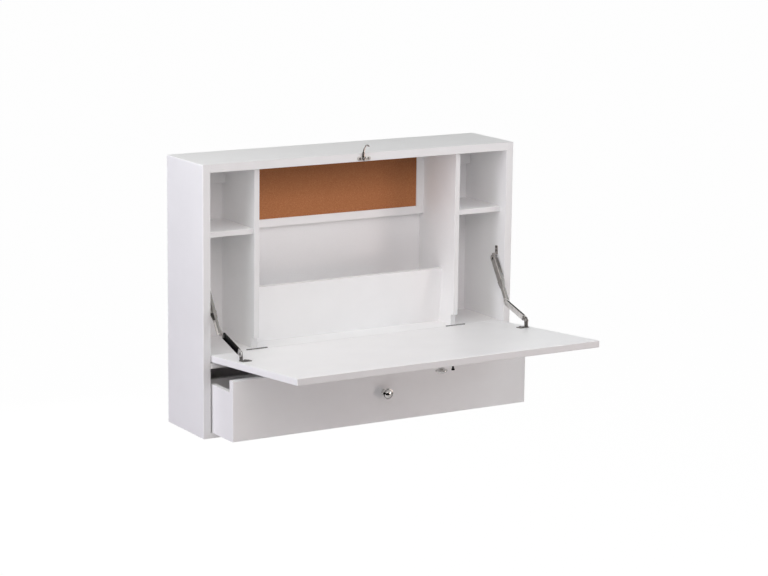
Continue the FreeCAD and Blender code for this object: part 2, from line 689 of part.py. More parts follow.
def foot_pivot():
    """(y, z) of the lower link's pivot with the flap at its rest tilt."""
    tilt = math.radians(REST_TILT)
    y = HINGE_Y - FOOT_REACH * math.cos(tilt) + FOOT_HEIGHT * math.sin(tilt)
    z = HINGE_Z + FOOT_REACH * math.sin(tilt) + FOOT_HEIGHT * math.cos(tilt)
    return (y, z)


def elbow():
    """(y, z) of the joint between the links at rest, on the hinge's side of the stay."""
    (y1, z1), (y2, z2) = stay_pivot(), foot_pivot()
    span = math.hypot(y2 - y1, z2 - z1)
    along = (UPPER_LINK ** 2 - LOWER_LINK ** 2 + span ** 2) / (2 * span)
    aside = math.sqrt(UPPER_LINK ** 2 - along ** 2)
    ey, ez = (y2 - y1) / span, (z2 - z1) / span
    return (y1 + along * ey - aside * ez, z1 + along * ez + aside * ey)


def layer(index):
    """Outer X of the stay's plates: 0 lug, 1 upper link, 2 lower link, 3 ear."""
    return INNER - STAY_STANDOFF - index * (STAY_METAL + STAY_GAP)


def ear_face():
    """X of the ear's face that meets the lower link."""
    return layer(3)


def stand_link(shape, start, end):
    """Stand a link drawn along +Y on its two pivots, given as (y, z)."""
    angle = math.degrees(math.atan2(end[1] - start[1], end[0] - start[0]))
    placed = shape.copy()
    placed.rotate(FreeCAD.Vector(0, 0, 0), X_AXIS, angle)
    placed.translate(FreeCAD.Vector(0, start[0], start[1]))
    return placed


def flush_rivet(at_start, at_end, play):
    """Rivet with a countersunk end at at_start; play widens it into its hole."""
    start, end = FreeCAD.Vector(*at_start), FreeCAD.Vector(*at_end)
    step = (end - start).normalize() * FLUSH_HEAD
    shank = rod(RIVET_RADIUS + play, at_start, at_end)
    sink = cone(FLUSH_HEAD_RADIUS + play, RIVET_RADIUS + play, at_start, tuple(start + step))
    return shank.fuse(sink).removeSplitter()


def upper_link():
    """Right upper link: a channel open towards the side board that narrows to the elbow."""
    x = layer(1)
    wide, slim = UPPER_WIDTH / 2, TONGUE_WIDTH / 2
    shoulder = UPPER_LINK * CHANNEL_SHARE
    neck = shoulder + UPPER_WIDTH
    outline = [(0, -wide), (shoulder, -wide), (neck, -slim), (UPPER_LINK, -slim),
               (UPPER_LINK, slim), (neck, slim), (shoulder, wide), (0, wide)]
    web = prism_x(outline, x - STAY_METAL, x)
    ends = [rod(wide, (x - STAY_METAL, 0, 0), (x, 0, 0)),
            rod(slim, (x - STAY_METAL, UPPER_LINK, 0), (x, UPPER_LINK, 0))]
    flanges = []
    for half, depth, run in ((wide, UPPER_FLANGE, (UPPER_FLANGE_START, shoulder)),
                             (slim, TONGUE_FLANGE, (neck, UPPER_LINK))):
        flanges += [block((x - STAY_METAL, x + depth), run,
                          (side * half, side * (half - STAY_METAL))) for side in (-1, 1)]
    for side in (-1, 1):
        taper = [(shoulder, side * wide), (neck, side * slim), (neck, side * (slim - STAY_METAL)),
                 (shoulder, side * (wide - STAY_METAL))]
        flanges.append(prism_x(taper, x - STAY_METAL, x + TONGUE_FLANGE))
    boss = rod(RIVET_HEAD_RADIUS, (x, UPPER_LINK, 0), (x + RIVET_HEAD, UPPER_LINK, 0))
    boss = soften(boss, RIVET_HEAD / 2, dict(x=x + RIVET_HEAD))
    shape = web.fuse(ends + flanges + [boss]).removeSplitter()
    shape = shape.cut(flush_rivet((x - STAY_METAL, 0, 0), (x, 0, 0), RUNNING_FIT))
    return stand_link(shape, stay_pivot(), elbow())


def lower_link():
    """Right lower link: a tray open towards the side board, with a flat eye at each end."""
    x = layer(2)
    half, wall = LOWER_WIDTH / 2, LOWER_WIDTH / 2 - STAY_METAL
    floor = x - STAY_METAL - LOWER_FLANGE
    run = (LOWER_FLANGE_START, LOWER_LINK - LOWER_FLANGE_START)
    shape = block((floor, x), run, (-half, half))
    shape = shape.cut(block((floor + STAY_METAL, x), (run[0] + STAY_METAL, run[1] - STAY_METAL),
                            (-wall, wall)))
    eyes = [block((x - STAY_METAL, x), span, (-half, half))
            for span in ((0, run[0]), (run[1], LOWER_LINK))]
    eyes += [rod(half, (x - STAY_METAL, y, 0), (x, y, 0)) for y in (0, LOWER_LINK)]
    shape = shape.fuse(eyes).removeSplitter()
    elbow_hole = rod(RIVET_RADIUS, (x, 0, 0), (x - STAY_METAL, 0, 0))
    foot_hole = flush_rivet((x, LOWER_LINK, 0), (x - STAY_METAL, LOWER_LINK, 0), RUNNING_FIT)
    shape = shape.cut([elbow_hole, foot_hole])
    return stand_link(shape, elbow(), foot_pivot())


def elbow_rivet():
    """Right elbow rivet, carried by the lower link."""
    x = layer(2)
    y, z = elbow()
    shank = rod(RIVET_RADIUS, (x, y, z), (x - STAY_METAL, y, z))
    head = rod(RIVET_HEAD_RADIUS, (x - STAY_METAL, y, z), (x - STAY_METAL - RIVET_HEAD, y, z))
    head = soften(head, RIVET_HEAD / 2, dict(x=x - STAY_METAL - RIVET_HEAD))
    return shank.fuse(head).removeSplitter()


def side_bracket():
    """Right bracket: plate on the side board, stepped out to a lug for the upper link."""
    y, z = stay_pivot()
    half = BRACKET_WIDTH / 2
    x_lug = layer(0)
    step = z + UPPER_WIDTH / 2 + STAY_METAL
    plate = block((INNER - STAY_METAL, INNER), (y - half, y + half), (step, step + BRACKET_PLATE))
    plate = soften(plate, half / 2, dict(y=y - half, z=step + BRACKET_PLATE),
                   dict(y=y + half, z=step + BRACKET_PLATE))
    riser = block((x_lug - STAY_METAL, INNER), (y - half, y + half), (step, step + STAY_METAL))
    lug = block((x_lug - STAY_METAL, x_lug), (y - half, y + half), (z, step + STAY_METAL))
    tip = rod(half, (x_lug - STAY_METAL, y, z), (x_lug, y, z))
    shape = plate.fuse([riser, lug, tip]).removeSplitter()
    hole = rod(RIVET_RADIUS, (x_lug - STAY_METAL, y, z), (x_lug, y, z))
    return cut_all(shape, [hole] + screw_holes(bracket_screw_places(), False))


def side_rivet():
    """Right rivet that carries the upper link on the bracket's lug."""
    y, z = stay_pivot()
    outer = layer(0)
    shank = flush_rivet((layer(1) - STAY_METAL, y, z), (outer, y, z), 0)
    head = rod(RIVET_HEAD_RADIUS, (outer, y, z), (outer + RIVET_HEAD, y, z))
    head = soften(head, RIVET_HEAD / 2, dict(x=outer + RIVET_HEAD))
    return shank.fuse(head).removeSplitter()


def foot_bracket():
    """Right foot on the level flap: plate towards the middle and an upright ear."""
    x = ear_face()
    y = HINGE_Y - FOOT_REACH
    half = LOWER_WIDTH / 2
    width = FOOT_PLATE_WIDTH / 2
    plate = block((x, x - FOOT_PLATE_LENGTH), (y - width, y + width), (HINGE_Z, HINGE_Z + STAY_METAL))
    plate = soften(plate, width / 3, dict(x=x - FOOT_PLATE_LENGTH, y=y - width),
                   dict(x=x - FOOT_PLATE_LENGTH, y=y + width))
    ear = block((x, x - STAY_METAL), (y - half, y + half), (HINGE_Z, HINGE_Z + FOOT_HEIGHT))
    tip = rod(half, (x, y, HINGE_Z + FOOT_HEIGHT), (x - STAY_METAL, y, HINGE_Z + FOOT_HEIGHT))
    shape = plate.fuse([ear, tip]).removeSplitter()
    hole = rod(RIVET_RADIUS, (x, y, HINGE_Z + FOOT_HEIGHT), (x - STAY_METAL, y, HINGE_Z + FOOT_HEIGHT))
    return on_flap(cut_all(shape, [hole] + screw_holes(foot_screw_places(), False)))


def foot_rivet():
    """Right rivet that carries the lower link on the foot's ear, flush on the link's side."""
    y, z = HINGE_Y - FOOT_REACH, HINGE_Z + FOOT_HEIGHT
    inner = ear_face() - STAY_METAL
    shank = flush_rivet((layer(2), y, z), (inner, y, z), 0)
    head = rod(RIVET_HEAD_RADIUS, (inner, y, z), (inner - RIVET_HEAD, y, z))
    head = soften(head, RIVET_HEAD / 2, dict(x=inner - RIVET_HEAD))
    return on_flap(shank.fuse(head).removeSplitter())


def stay_pieces():
    """Both folding stays with their screws."""
    pieces = {}
    for name, shape in (("stay_bracket", side_bracket()), ("stay_upper_link", upper_link()),
                        ("stay_lower_link", lower_link()), ("stay_elbow_rivet", elbow_rivet()),
                        ("stay_foot", foot_bracket())):
        pieces.update(pair(name, shape))
    pieces["stay_bracket_rivets"] = pairs(side_rivet())
    pieces["stay_foot_rivets"] = pairs(foot_rivet())
    pieces["stay_bracket_screws"] = pairs(screws(bracket_screw_places(), False))
    pieces["stay_foot_screws"] = pairs(on_flap(screws(foot_screw_places(), False)))
    return pieces


# ---------------------------------------------------------------- latch
def latch_pin_hole():
    """Pilot of the latch's pivot rivet in the top board."""
    return [rod(RIVET_RADIUS, (0, FRONT, LATCH_Z), (0, FRONT + SCREW_LENGTH, LATCH_Z))]


def latch_plate():
    """Base plate with round ends on the top board's front edge."""
    half = LATCH_PLATE_HEIGHT / 2
    run = LATCH_PLATE_LENGTH / 2 - half
    y = (FRONT - LATCH_PLATE_THICKNESS, FRONT)
    shape = block((-run, run), y, (LATCH_Z - half, LATCH_Z + half))
    ends = [rod(half, (x, y[0], LATCH_Z), (x, y[1], LATCH_Z)) for x in (-run, run)]
    shape = shape.fuse(ends).removeSplitter()
    shape = soften(shape, LATCH_PLATE_THICKNESS / 2, dict(y=y[0]))
    hole = rod(RIVET_RADIUS, (0, y[0], LATCH_Z), (0, y[1], LATCH_Z))
    return cut_all(shape, [hole] + screw_holes(latch_screw_places(), True))


def stud_when_closed():
    """(x, z) of the stud beside the latch's pivot with the flap closed."""
    return (STUD_OFFSET, FLOOR_TOP + FLAP_REACH - STUD_INSET - LATCH_Z)


def hook_swing():
    """Degrees through which the hook turns from rest on to the stud."""
    x, z = stud_when_closed()
    return 180 - HOOK_REST_LEAN - math.degrees(math.atan2(x, -z))


def hook():
    """Hook drawn on the stud, then swung back to its undone place."""
    x, z = stud_when_closed()
    ring = STUD_RADIUS + HOOK_PLAY + HOOK_BAND / 2
    y = FRONT - LATCH_PLATE_THICKNESS - STAY_GAP

    def spot(angle):
        turn = math.radians(angle)
        return FreeCAD.Vector(x + ring * math.cos(turn), y, LATCH_Z + z + ring * math.sin(turn))

    pivot = FreeCAD.Vector(0, y, LATCH_Z)
    out = math.degrees(math.atan2(z, x))
    heel = spot(out + 90)
    bulge = FreeCAD.Vector(heel.x * 0.62 + ring / 2, y, (LATCH_Z + heel.z) / 2)
    curl = Part.Wire([Part.Arc(heel, spot(out + 20), spot(out - HOOK_CURL)).toShape()])
    band = Part.Face(curl.makeOffset2D(HOOK_BAND / 2, 0, False, False))
    shape = band.extrude(Y_AXIS * -HOOK_THICKNESS)
    shape = shape.fuse([hook_shank(pivot, bulge, heel),
                        rod(HOOK_BOSS_RADIUS, pivot, pivot - Y_AXIS * HOOK_THICKNESS)])
    shape = shape.removeSplitter().cut(rod(RIVET_RADIUS + RUNNING_FIT, pivot,
                                           pivot - Y_AXIS * HOOK_THICKNESS))
    shape.rotate(pivot, Y_AXIS, -hook_swing())
    return shape


def hook_shank(pivot, bulge, heel):
    """Curved shank that narrows from the boss to the heel of the hook."""
    centre = Part.Arc(pivot, bulge, heel).toShape().Curve.Center
    edges = []
    for side in (-1, 1):
        spots = [place + (place - centre).normalize() * (side * width / 2)
                 for place, width in ((pivot, HOOK_SHANK), (bulge, (HOOK_SHANK + HOOK_BAND) / 2),
                                      (heel, HOOK_BAND))]
        edges.append(Part.Arc(*spots))
    ends = [Part.LineSegment(edges[0].StartPoint, edges[1].StartPoint),
            Part.LineSegment(edges[0].EndPoint, edges[1].EndPoint)]
    outline = Part.Wire(Part.__sortEdges__([curve.toShape() for curve in edges + ends]))
    return Part.Face(outline).extrude(Y_AXIS * -HOOK_THICKNESS)


def latch_pieces():
    """Plate, hook, pivot rivet and screws of the latch."""
    head_y = FRONT - LATCH_PLATE_THICKNESS - STAY_GAP - HOOK_THICKNESS - RUNNING_FIT
    shank = rod(RIVET_RADIUS, (0, FRONT + SCREW_LENGTH, LATCH_Z), (0, head_y, LATCH_Z))
    head = rod(RIVET_HEAD_RADIUS, (0, head_y, LATCH_Z), (0, head_y - RIVET_HEAD, LATCH_Z))
    head = soften(head, RIVET_HEAD / 2, dict(y=head_y - RIVET_HEAD))
    return {
        "latch_plate": latch_plate(),
        "latch_hook": hook(),
        "latch_rivet": shank.fuse(head).removeSplitter(),
        "latch_screws": screws(latch_screw_places(), True),
    }


# ---------------------------------------------------------------- drawer
def drawer_limits():
    """Outer limits of the drawer front and of the sides, drawn closed."""
    half = INNER - DRAWER_GAP
    side = half - DRAWER_SIDE_INSET
    low = BAY_BOTTOM + DRAWER_RUN_CLEARANCE
    front_low = BAY_BOTTOM + DRAWER_LIFT
    high = RAIL_UNDER - DRAWER_TOP_GAP
    return half, side, low, front_low, high


def drawer_pieces():
    """Drawer drawn closed, then pulled out to its rest place."""
    half, side, low, front_low, high = drawer_limits()
    inner = FRONT + DRAWER_FRONT_THICKNESS
    rear = FRONT + DRAWER_LENGTH
    side_top = high - DRAWER_SIDE_DROP
    panel = low + DRAWER_BOTTOM_HEIGHT
    lid = panel + DRAWER_BOTTOM_THICKNESS
    wall = DRAWER_SIDE_THICKNESS
    x_panel = side - wall + DRAWER_GROOVE
    groove = block((-x_panel - GROOVE_PLAY, x_panel + GROOVE_PLAY),
                   (inner - DRAWER_GROOVE - GROOVE_PLAY, rear),
                   (panel - GROOVE_PLAY, lid + GROOVE_PLAY))
    knob_at = (0, FRONT, (front_low + high) / 2)
    bolt = (0, inner, knob_at[2])
    bolt_end = (0, FRONT - KNOB_HEIGHT * 0.4, knob_at[2])
    front = block((-half, half), (FRONT, inner), (front_low, high))
    front = soften(front, FLAP_ROUND, dict(y=FRONT))
    front = front.cut([groove, rod(KNOB_SCREW_RADIUS, bolt, bolt_end)])
    side_piece = block((side - wall, side), (inner, rear), (low, side_top)).cut(groove)
    side_piece = soften(side_piece, INNER_ROUND, dict(x=side, z=side_top), dict(x=side - wall, z=side_top))
    back = block((-side + wall, side - wall), (rear - wall, rear), (lid + GROOVE_PLAY, side_top))
    bottom = block((-x_panel, x_panel), (inner - DRAWER_GROOVE, rear), (panel, lid))
    bolt_head = rod(KNOB_NECK_RADIUS, bolt, (0, inner + DRAWER_BOTTOM_THICKNESS, knob_at[2]))
    pieces = {
        "drawer_front": front,
        "drawer_side_left": mirrored(side_piece),
        "drawer_side_right": side_piece,
        "drawer_back": back,
        "drawer_bottom": bottom,
        "drawer_knob": knob(knob_at, (0, -1, 0)).cut(rod(KNOB_SCREW_RADIUS, bolt, bolt_end)),
        "drawer_knob_bolt": rod(KNOB_SCREW_RADIUS, bolt, bolt_end).fuse(bolt_head).removeSplitter(),
    }
    for shape in pieces.values():
        shape.translate(Y_AXIS * -DRAWER_REST_PULL)
    return pieces


# ---------------------------------------------------------------- write the pieces
def main():
    """Build every piece and write one STEP file for each."""
    pieces = {}
    for build in (case_pieces, bay_pieces, hinge_pieces, flap_pieces, stay_pieces,
                  latch_pieces, drawer_pieces):
        pieces.update(build())
    os.makedirs("parts", exist_ok=True)
    for name, shape in pieces.items():
        shape.exportStep("parts/" + name + ".step")
    print(len(pieces), "pieces")


main()
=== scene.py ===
"""Fold down wall desk: finishes, hardware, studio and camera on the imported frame."""
import json
import logging
import math
from dataclasses import dataclass, field
from enum import Enum
from typing import Callable, ClassVar, Iterable, Sequence

import bmesh
import bpy
from mathutils import Matrix, Vector


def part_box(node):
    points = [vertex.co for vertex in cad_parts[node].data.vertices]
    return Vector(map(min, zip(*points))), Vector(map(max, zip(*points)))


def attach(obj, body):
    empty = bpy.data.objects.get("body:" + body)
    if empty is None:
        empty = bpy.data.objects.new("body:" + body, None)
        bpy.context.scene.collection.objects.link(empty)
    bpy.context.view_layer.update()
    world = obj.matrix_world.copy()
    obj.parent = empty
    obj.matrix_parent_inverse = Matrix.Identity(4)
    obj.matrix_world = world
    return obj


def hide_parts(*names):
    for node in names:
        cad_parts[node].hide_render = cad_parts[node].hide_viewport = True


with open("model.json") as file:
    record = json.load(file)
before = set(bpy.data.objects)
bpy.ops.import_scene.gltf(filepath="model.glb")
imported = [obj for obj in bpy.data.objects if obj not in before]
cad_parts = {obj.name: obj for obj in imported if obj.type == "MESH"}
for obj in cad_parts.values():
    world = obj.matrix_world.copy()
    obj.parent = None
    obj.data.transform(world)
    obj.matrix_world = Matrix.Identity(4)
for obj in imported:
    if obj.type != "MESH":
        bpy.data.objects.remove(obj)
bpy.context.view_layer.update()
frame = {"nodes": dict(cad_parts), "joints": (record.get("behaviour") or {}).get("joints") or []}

LOG = logging.getLogger("wall_desk")
MM = 0.001
WHITE, BLACK = "#FFFFFF", "#000000"
Material = bpy.types.Material
Shaded = Material | bpy.types.World
Point = tuple[float, float]

# Two ways to stand a form that was drawn flat: its height along a link, or out of the case.
LENGTHWISE = Matrix(((1, 0, 0, 0), (0, 0, 1, 0), (0, 1, 0, 0), (0, 0, 0, 1)))
FACING_OUT = Matrix(((1, 0, 0, 0), (0, 0, -1, 0), (0, 1, 0, 0), (0, 0, 0, 1)))
INTO_ROOM = Vector((0, -1, 0))


# ------------------------------------------------------------------ colour and nodes
def linear(hex_colour: str) -> tuple[float, float, float, float]:
    """Turn an sRGB hex colour into the linear colour that shaders take.

    Args:
        hex_colour: six hex digits, with or without a leading hash.

    Returns:
        Red, green, blue and alpha.
    """
    digits = hex_colour.lstrip("#")
    channels = [int(digits[i:i + 2], 16) / 255 for i in (0, 2, 4)]
    # The sRGB curve: a straight foot, then a power.
    curve = [c / 12.92 if c <= 0.04045 else ((c + 0.055) / 1.055) ** 2.4 for c in channels]
    return (*curve, 1.0)


def add_node(owner: Shaded, kind: str, settings: dict | None = None, links: dict | None = None,
             stops: Sequence[tuple[float, str]] = ()) -> bpy.types.Node:
    """Add a shader node with its settings and links.

    Args:
        owner: material or world whose tree grows.
        kind: the node's bl_idname after its ShaderNode.
        settings: attribute or input values; a key that names an attribute sets it, any other
            key names an input socket.
        links: input socket to the output socket that feeds it.
        stops: for a colour ramp, places from 0 to 1 with their hex colours.

    Returns:
        The new node.
    """
    tree = owner.node_tree
    node = tree.nodes.new("ShaderNode" + kind)
    for key, value in (settings or {}).items():
        if isinstance(key, str) and hasattr(node, key):
            setattr(node, key, value)
        else:
            node.inputs[key].default_value = value
    for key, source in (links or {}).items():
        tree.links.new(source, node.inputs[key])
    for number, (place, colour) in enumerate(stops):
        elements = node.color_ramp.elements
        element = elements[number] if number < 2 else elements.new(place)
        element.position = place
        element.color = linear(colour)
    return node


def empty_tree(owner: Shaded) -> None:
    """Give a material or world an empty node tree."""
    owner.use_nodes = True
    owner.node_tree.nodes.clear()


def new_material(name: str,
                 settings: dict) -> tuple[Material, bpy.types.Node, bpy.types.NodeSocket]:
    """Start a material with one Principled shader and object coordinates.

    Args:
        name: the material's name.
        settings: input values of the shader.

    Returns:
        The material, its shader node and the Object coordinate socket.
    """
    material = bpy.data.materials.new(name)
    empty_tree(material)
    shader = add_node(material, "BsdfPrincipled", settings)
    add_node(material, "OutputMaterial", links={"Surface": shader.outputs["BSDF"]})
    return material, shader, add_node(material, "TexCoord").outputs["Object"]


def connect(owner: Shaded, source: bpy.types.NodeSocket, target: bpy.types.NodeSocket) -> None:
    """Link two sockets."""
    owner.node_tree.links.new(source, target)


# ------------------------------------------------------------------ finishes
@dataclass(frozen=True)
class SprayedLacquer:
    """White catalysed lacquer sprayed on medium density fibreboard.

    Spraying leaves a fine orange peel that only shows in the highlights, and a very faint
    cloudiness where the coats differ in thickness. A painted shade can keep the faces that look
    into the room, which are the boards' cut front edges, a little greyer.
    """

    name: str = "sprayed_lacquer"
    colour: str = "#F6F6F6"
    thin: str = "#F4F4F4"
    edge: str = WHITE             # painted shade on faces that look into the room; white leaves them unshaded
    peel_mm: float = 1.6          # drawn about twice as coarse as real orange peel
    peel_depth_mm: float = 0.012
    cloud_mm: float = 90.0
    roughness: float = 0.36
    smoother: float = 0.04        # how far thick coats lie below that roughness
    rougher: float = 0.05         # and thin coats above it
    ior: float = 1.49
    specular: float = 0.3

    def make(self) -> Material:
        """Build the material.

        Returns:
            The material.
        """
        material, shader, place = new_material(self.name, {
            "IOR": self.ior, "Specular IOR Level": self.specular})
        cloud = add_node(material, "TexNoise",
                         {"Scale": 1 / (self.cloud_mm * MM), "Detail": 4.0, "Roughness": 0.55},
                         {"Vector": place})
        tint = add_node(material, "ValToRGB", links={"Fac": cloud.outputs["Fac"]},
                        stops=[(0.38, self.thin), (0.62, self.colour)])
        facing = add_node(material, "SeparateXYZ",
                          links={"Vector": place.node.outputs["Normal"]})
        # A face that looks into the room has a normal of -1 along Y, which the ramp reads as 0.
        turned = add_node(material, "MapRange", {"From Min": -1.0, "From Max": 1.0},
                          {"Value": facing.outputs["Y"]})
        # Painted shade: faces that look into the room are multiplied by the edge colour.
        keep = add_node(material, "ValToRGB", links={"Fac": turned.outputs["Result"]},
                        stops=[(0.02, self.edge), (0.1, WHITE)])
        body = add_node(material, "Mix",
                        {"data_type": "RGBA", "blend_type": "MULTIPLY", 0: 1.0},
                        {6: tint.outputs["Color"], 7: keep.outputs["Color"]})
        connect(material, body.outputs[2], shader.inputs["Base Color"])
        peel = add_node(material, "TexNoise",
                        {"Scale": 1 / (self.peel_mm * MM), "Detail": 2.0, "Roughness": 0.4},
                        {"Vector": place})
        bump = add_node(material, "Bump",
                        {"Strength": 0.6, "Distance": self.peel_depth_mm * MM},
                        {"Height": peel.outputs["Fac"]})
        connect(material, bump.outputs["Normal"], shader.inputs["Normal"])
        gloss = add_node(material, "MapRange",
                         {"To Min": self.roughness - self.smoother,
                          "To Max": self.roughness + self.rougher},
                         {"Value": cloud.outputs["Fac"]})
        connect(material, gloss.outputs["Result"], shader.inputs["Roughness"])
        return material


@dataclass(frozen=True)
class FacedHardboard:
    """Thin hardboard faced with white paint, as used for backs and drawer bottoms.

    The pressed fibres telegraph through the thin paint as a short, felted texture.
    """

    name: str = "faced_hardboard"
    colour: str = "#F5F5F5"
    fibre: str = "#F1F1F1"
    fibre_mm: float = 2.2
    fibre_depth_mm: float = 0.02
    roughness: float = 0.55
    ior: float = 1.47
    specular: float = 0.3

    def make(self) -> Material:
        """Build the material.

        Returns:
            The material.
        """
        material, shader, place = new_material(self.name, {
            "Roughness": self.roughness, "IOR": self.ior,
            "Specular IOR Level": self.specular})
        fibres = add_node(material, "TexNoise",
                          {"Scale": 1 / (self.fibre_mm * MM), "Detail": 5.0, "Roughness": 0.7,
                           "Distortion": 0.8}, {"Vector": place})
        tint = add_node(material, "ValToRGB", links={"Fac": fibres.outputs["Fac"]},
                        stops=[(0.3, self.fibre), (0.5, self.colour)])
        connect(material, tint.outputs["Color"], shader.inputs["Base Color"])
        bump = add_node(material, "Bump",
                        {"Strength": 0.5, "Distance": self.fibre_depth_mm * MM},
                        {"Height": fibres.outputs["Fac"]})
        connect(material, bump.outputs["Normal"], shader.inputs["Normal"])
        return material


@dataclass(frozen=True)
class GranulatedCork:
    """Fine cork granules pressed and sliced into a pinboard sheet.

    Grains of about 1 mm lie in close browns, with dark bark specks and open pores. A painted shade
    darkens the sheet towards its top, where the top board overhangs it.
    """

    name: str = "granulated_cork"
    dark: str = "#A96C43"
    middle: str = "#B5764D"
    light: str = "#C28558"
    bark: str = "#7A4A29"
    shaded: str = "#D4D4D4"       # painted shade at the top of the sheet, under the top board
    grain_mm: float = 1.1
    speck_mm: float = 2.4
    pore_depth_mm: float = 0.2
    roughness: float = 0.88
    specular: float = 0.25

    def make(self) -> Material:
        """Build the material.

        Returns:
            The material.
        """
        material, shader, place = new_material(self.name, {
            "Roughness": self.roughness, "Specular IOR Level": self.specular})
        grains = add_node(material, "TexVoronoi",
                          {"Scale": 1 / (self.grain_mm * MM), "Randomness": 1.0},
                          {"Vector": place})
        tone = add_node(material, "SeparateColor",
                        links={"Color": grains.outputs["Color"]})
        colour = add_node(material, "ValToRGB", links={"Fac": tone.outputs["Red"]},
                          stops=[(0.0, self.dark), (0.35, self.middle), (0.75, self.middle),
                                 (1.0, self.light)])
        # Painted shade: the cork's colour is multiplied darker towards the top of the sheet.
        low, high = box_mm("cork_sheet")
        height = add_node(material, "SeparateXYZ", links={"Vector": place})
        rise = add_node(material, "MapRange",
                        {"From Min": low.z * MM, "From Max": high.z * MM},
                        {"Value": height.outputs["Z"]})
        shade = add_node(material, "ValToRGB", links={"Fac": rise.outputs["Result"]},
                         stops=[(0.3, WHITE), (0.85, self.shaded)])
        mixed = add_node(material, "Mix",
                         {"data_type": "RGBA", "blend_type": "MULTIPLY", 0: 1.0},
                         {6: colour.outputs["Color"], 7: shade.outputs["Color"]})
        specks = add_node(material, "TexNoise",
                          {"Scale": 1 / (self.speck_mm * MM), "Detail": 6.0, "Roughness": 0.75},
                          {"Vector": place})
        speck_mask = add_node(material, "ValToRGB",
                              links={"Fac": specks.outputs["Fac"]},
                              stops=[(0.68, BLACK), (0.75, WHITE)])
        bark = add_node(material, "Mix", {"data_type": "RGBA", 7: linear(self.bark)},
                        {0: speck_mask.outputs["Color"], 6: mixed.outputs[2]})
        connect(material, bark.outputs[2], shader.inputs["Base Color"])
        pits = add_node(material, "Math", {"operation": "ADD"},
                        {0: grains.outputs["Distance"], 1: specks.outputs["Fac"]})
        bump = add_node(material, "Bump",
                        {"Strength": 0.5, "Distance": self.pore_depth_mm * MM, "invert": True},
                        {"Height": pits.outputs["Value"]})
        connect(material, bump.outputs["Normal"], shader.inputs["Normal"])
        return material


class Plating(Enum):
    """Kinds of plated steel on the hardware."""

    POLISHED = "polished_nickel"
    STAMPED = "stamped_nickel_plate"
    ZINC = "zinc_screw_head"
    KNUCKLE = "knuckle_nickel"
    BRIGHT = "bright_nickel"
    CAST = "cast_nickel"
    DARK = "blackened_nickel"


@dataclass(frozen=True)
class PlatedMetal:
    """Steel plated with nickel or zinc.

    Nickel is bright on turned and polished pieces and dull on stampings. Lighter, darker and near
    black copies of it are painted light and painted shade on the stays, hinges and latch. The
    plating follows the metal under it, so tumbling marks and a slight unevenness show in the gloss.
    """

    plating: Plating
    colour: str
    dull: str
    roughness: float
    spread: float
    smudge_mm: float = 7.0
    mark_mm: float = 0.9
    mark_depth_mm: float = 0.01

    def make(self) -> Material:
        """Build the material.

        Returns:
            The material.
        """
        material, shader, place = new_material(self.plating.value, {"Metallic": 1.0})
        smudge = add_node(material, "TexNoise",
                          {"Scale": 1 / (self.smudge_mm * MM), "Detail": 4.0, "Roughness": 0.6},
                          {"Vector": place})
        tint = add_node(material, "ValToRGB", links={"Fac": smudge.outputs["Fac"]},
                        stops=[(0.35, self.dull), (0.6, self.colour)])
        connect(material, tint.outputs["Color"], shader.inputs["Base Color"])
        gloss = add_node(material, "MapRange",
                         {"From Min": 0.3, "From Max": 0.7, "To Min": self.roughness,
                          "To Max": self.roughness + self.spread}, {"Value": smudge.outputs["Fac"]})
        connect(material, gloss.outputs["Result"], shader.inputs["Roughness"])
        marks = add_node(material, "TexNoise",
                         {"Scale": 1 / (self.mark_mm * MM), "Detail": 3.0, "Roughness": 0.7},
                         {"Vector": place})
        bump = add_node(material, "Bump",
                        {"Strength": 0.2, "Distance": self.mark_depth_mm * MM},
                        {"Height": marks.outputs["Fac"]})
        connect(material, bump.outputs["Normal"], shader.inputs["Normal"])
        return material


@dataclass(frozen=True)
class TurnedBeech:
    """Plain beech dowel rod: straight grain that runs along the rod."""

    name: str = "turned_beech"
    light: str = "#D9B68C"
    dark: str = "#B88A5A"
    ring_mm: float = 1.8
    stretch: float = 0.08         # the grain's fineness along the rod, against across it
    roughness: float = 0.6

    def make(self) -> Material:
        """Build the material.

        Returns:
            The material.
        """
        material, shader, place = new_material(self.name, {"Roughness": self.roughness})
        stretch = add_node(material, "Mapping", {"Scale": (self.stretch, 1.0, 1.0)},
                           {"Vector": place})
        grain = add_node(material, "TexNoise",
                         {"Scale": 1 / (self.ring_mm * MM), "Detail": 4.0},
                         {"Vector": stretch.outputs["Vector"]})
        tint = add_node(material, "ValToRGB", links={"Fac": grain.outputs["Fac"]},
                        stops=[(0.35, self.dark), (0.6, self.light)])
        connect(material, tint.outputs["Color"], shader.inputs["Base Color"])
        return material


def once(make: Callable[[], Material]) -> Material:
    """Field that holds what a finish makes."""
    return field(default_factory=make)


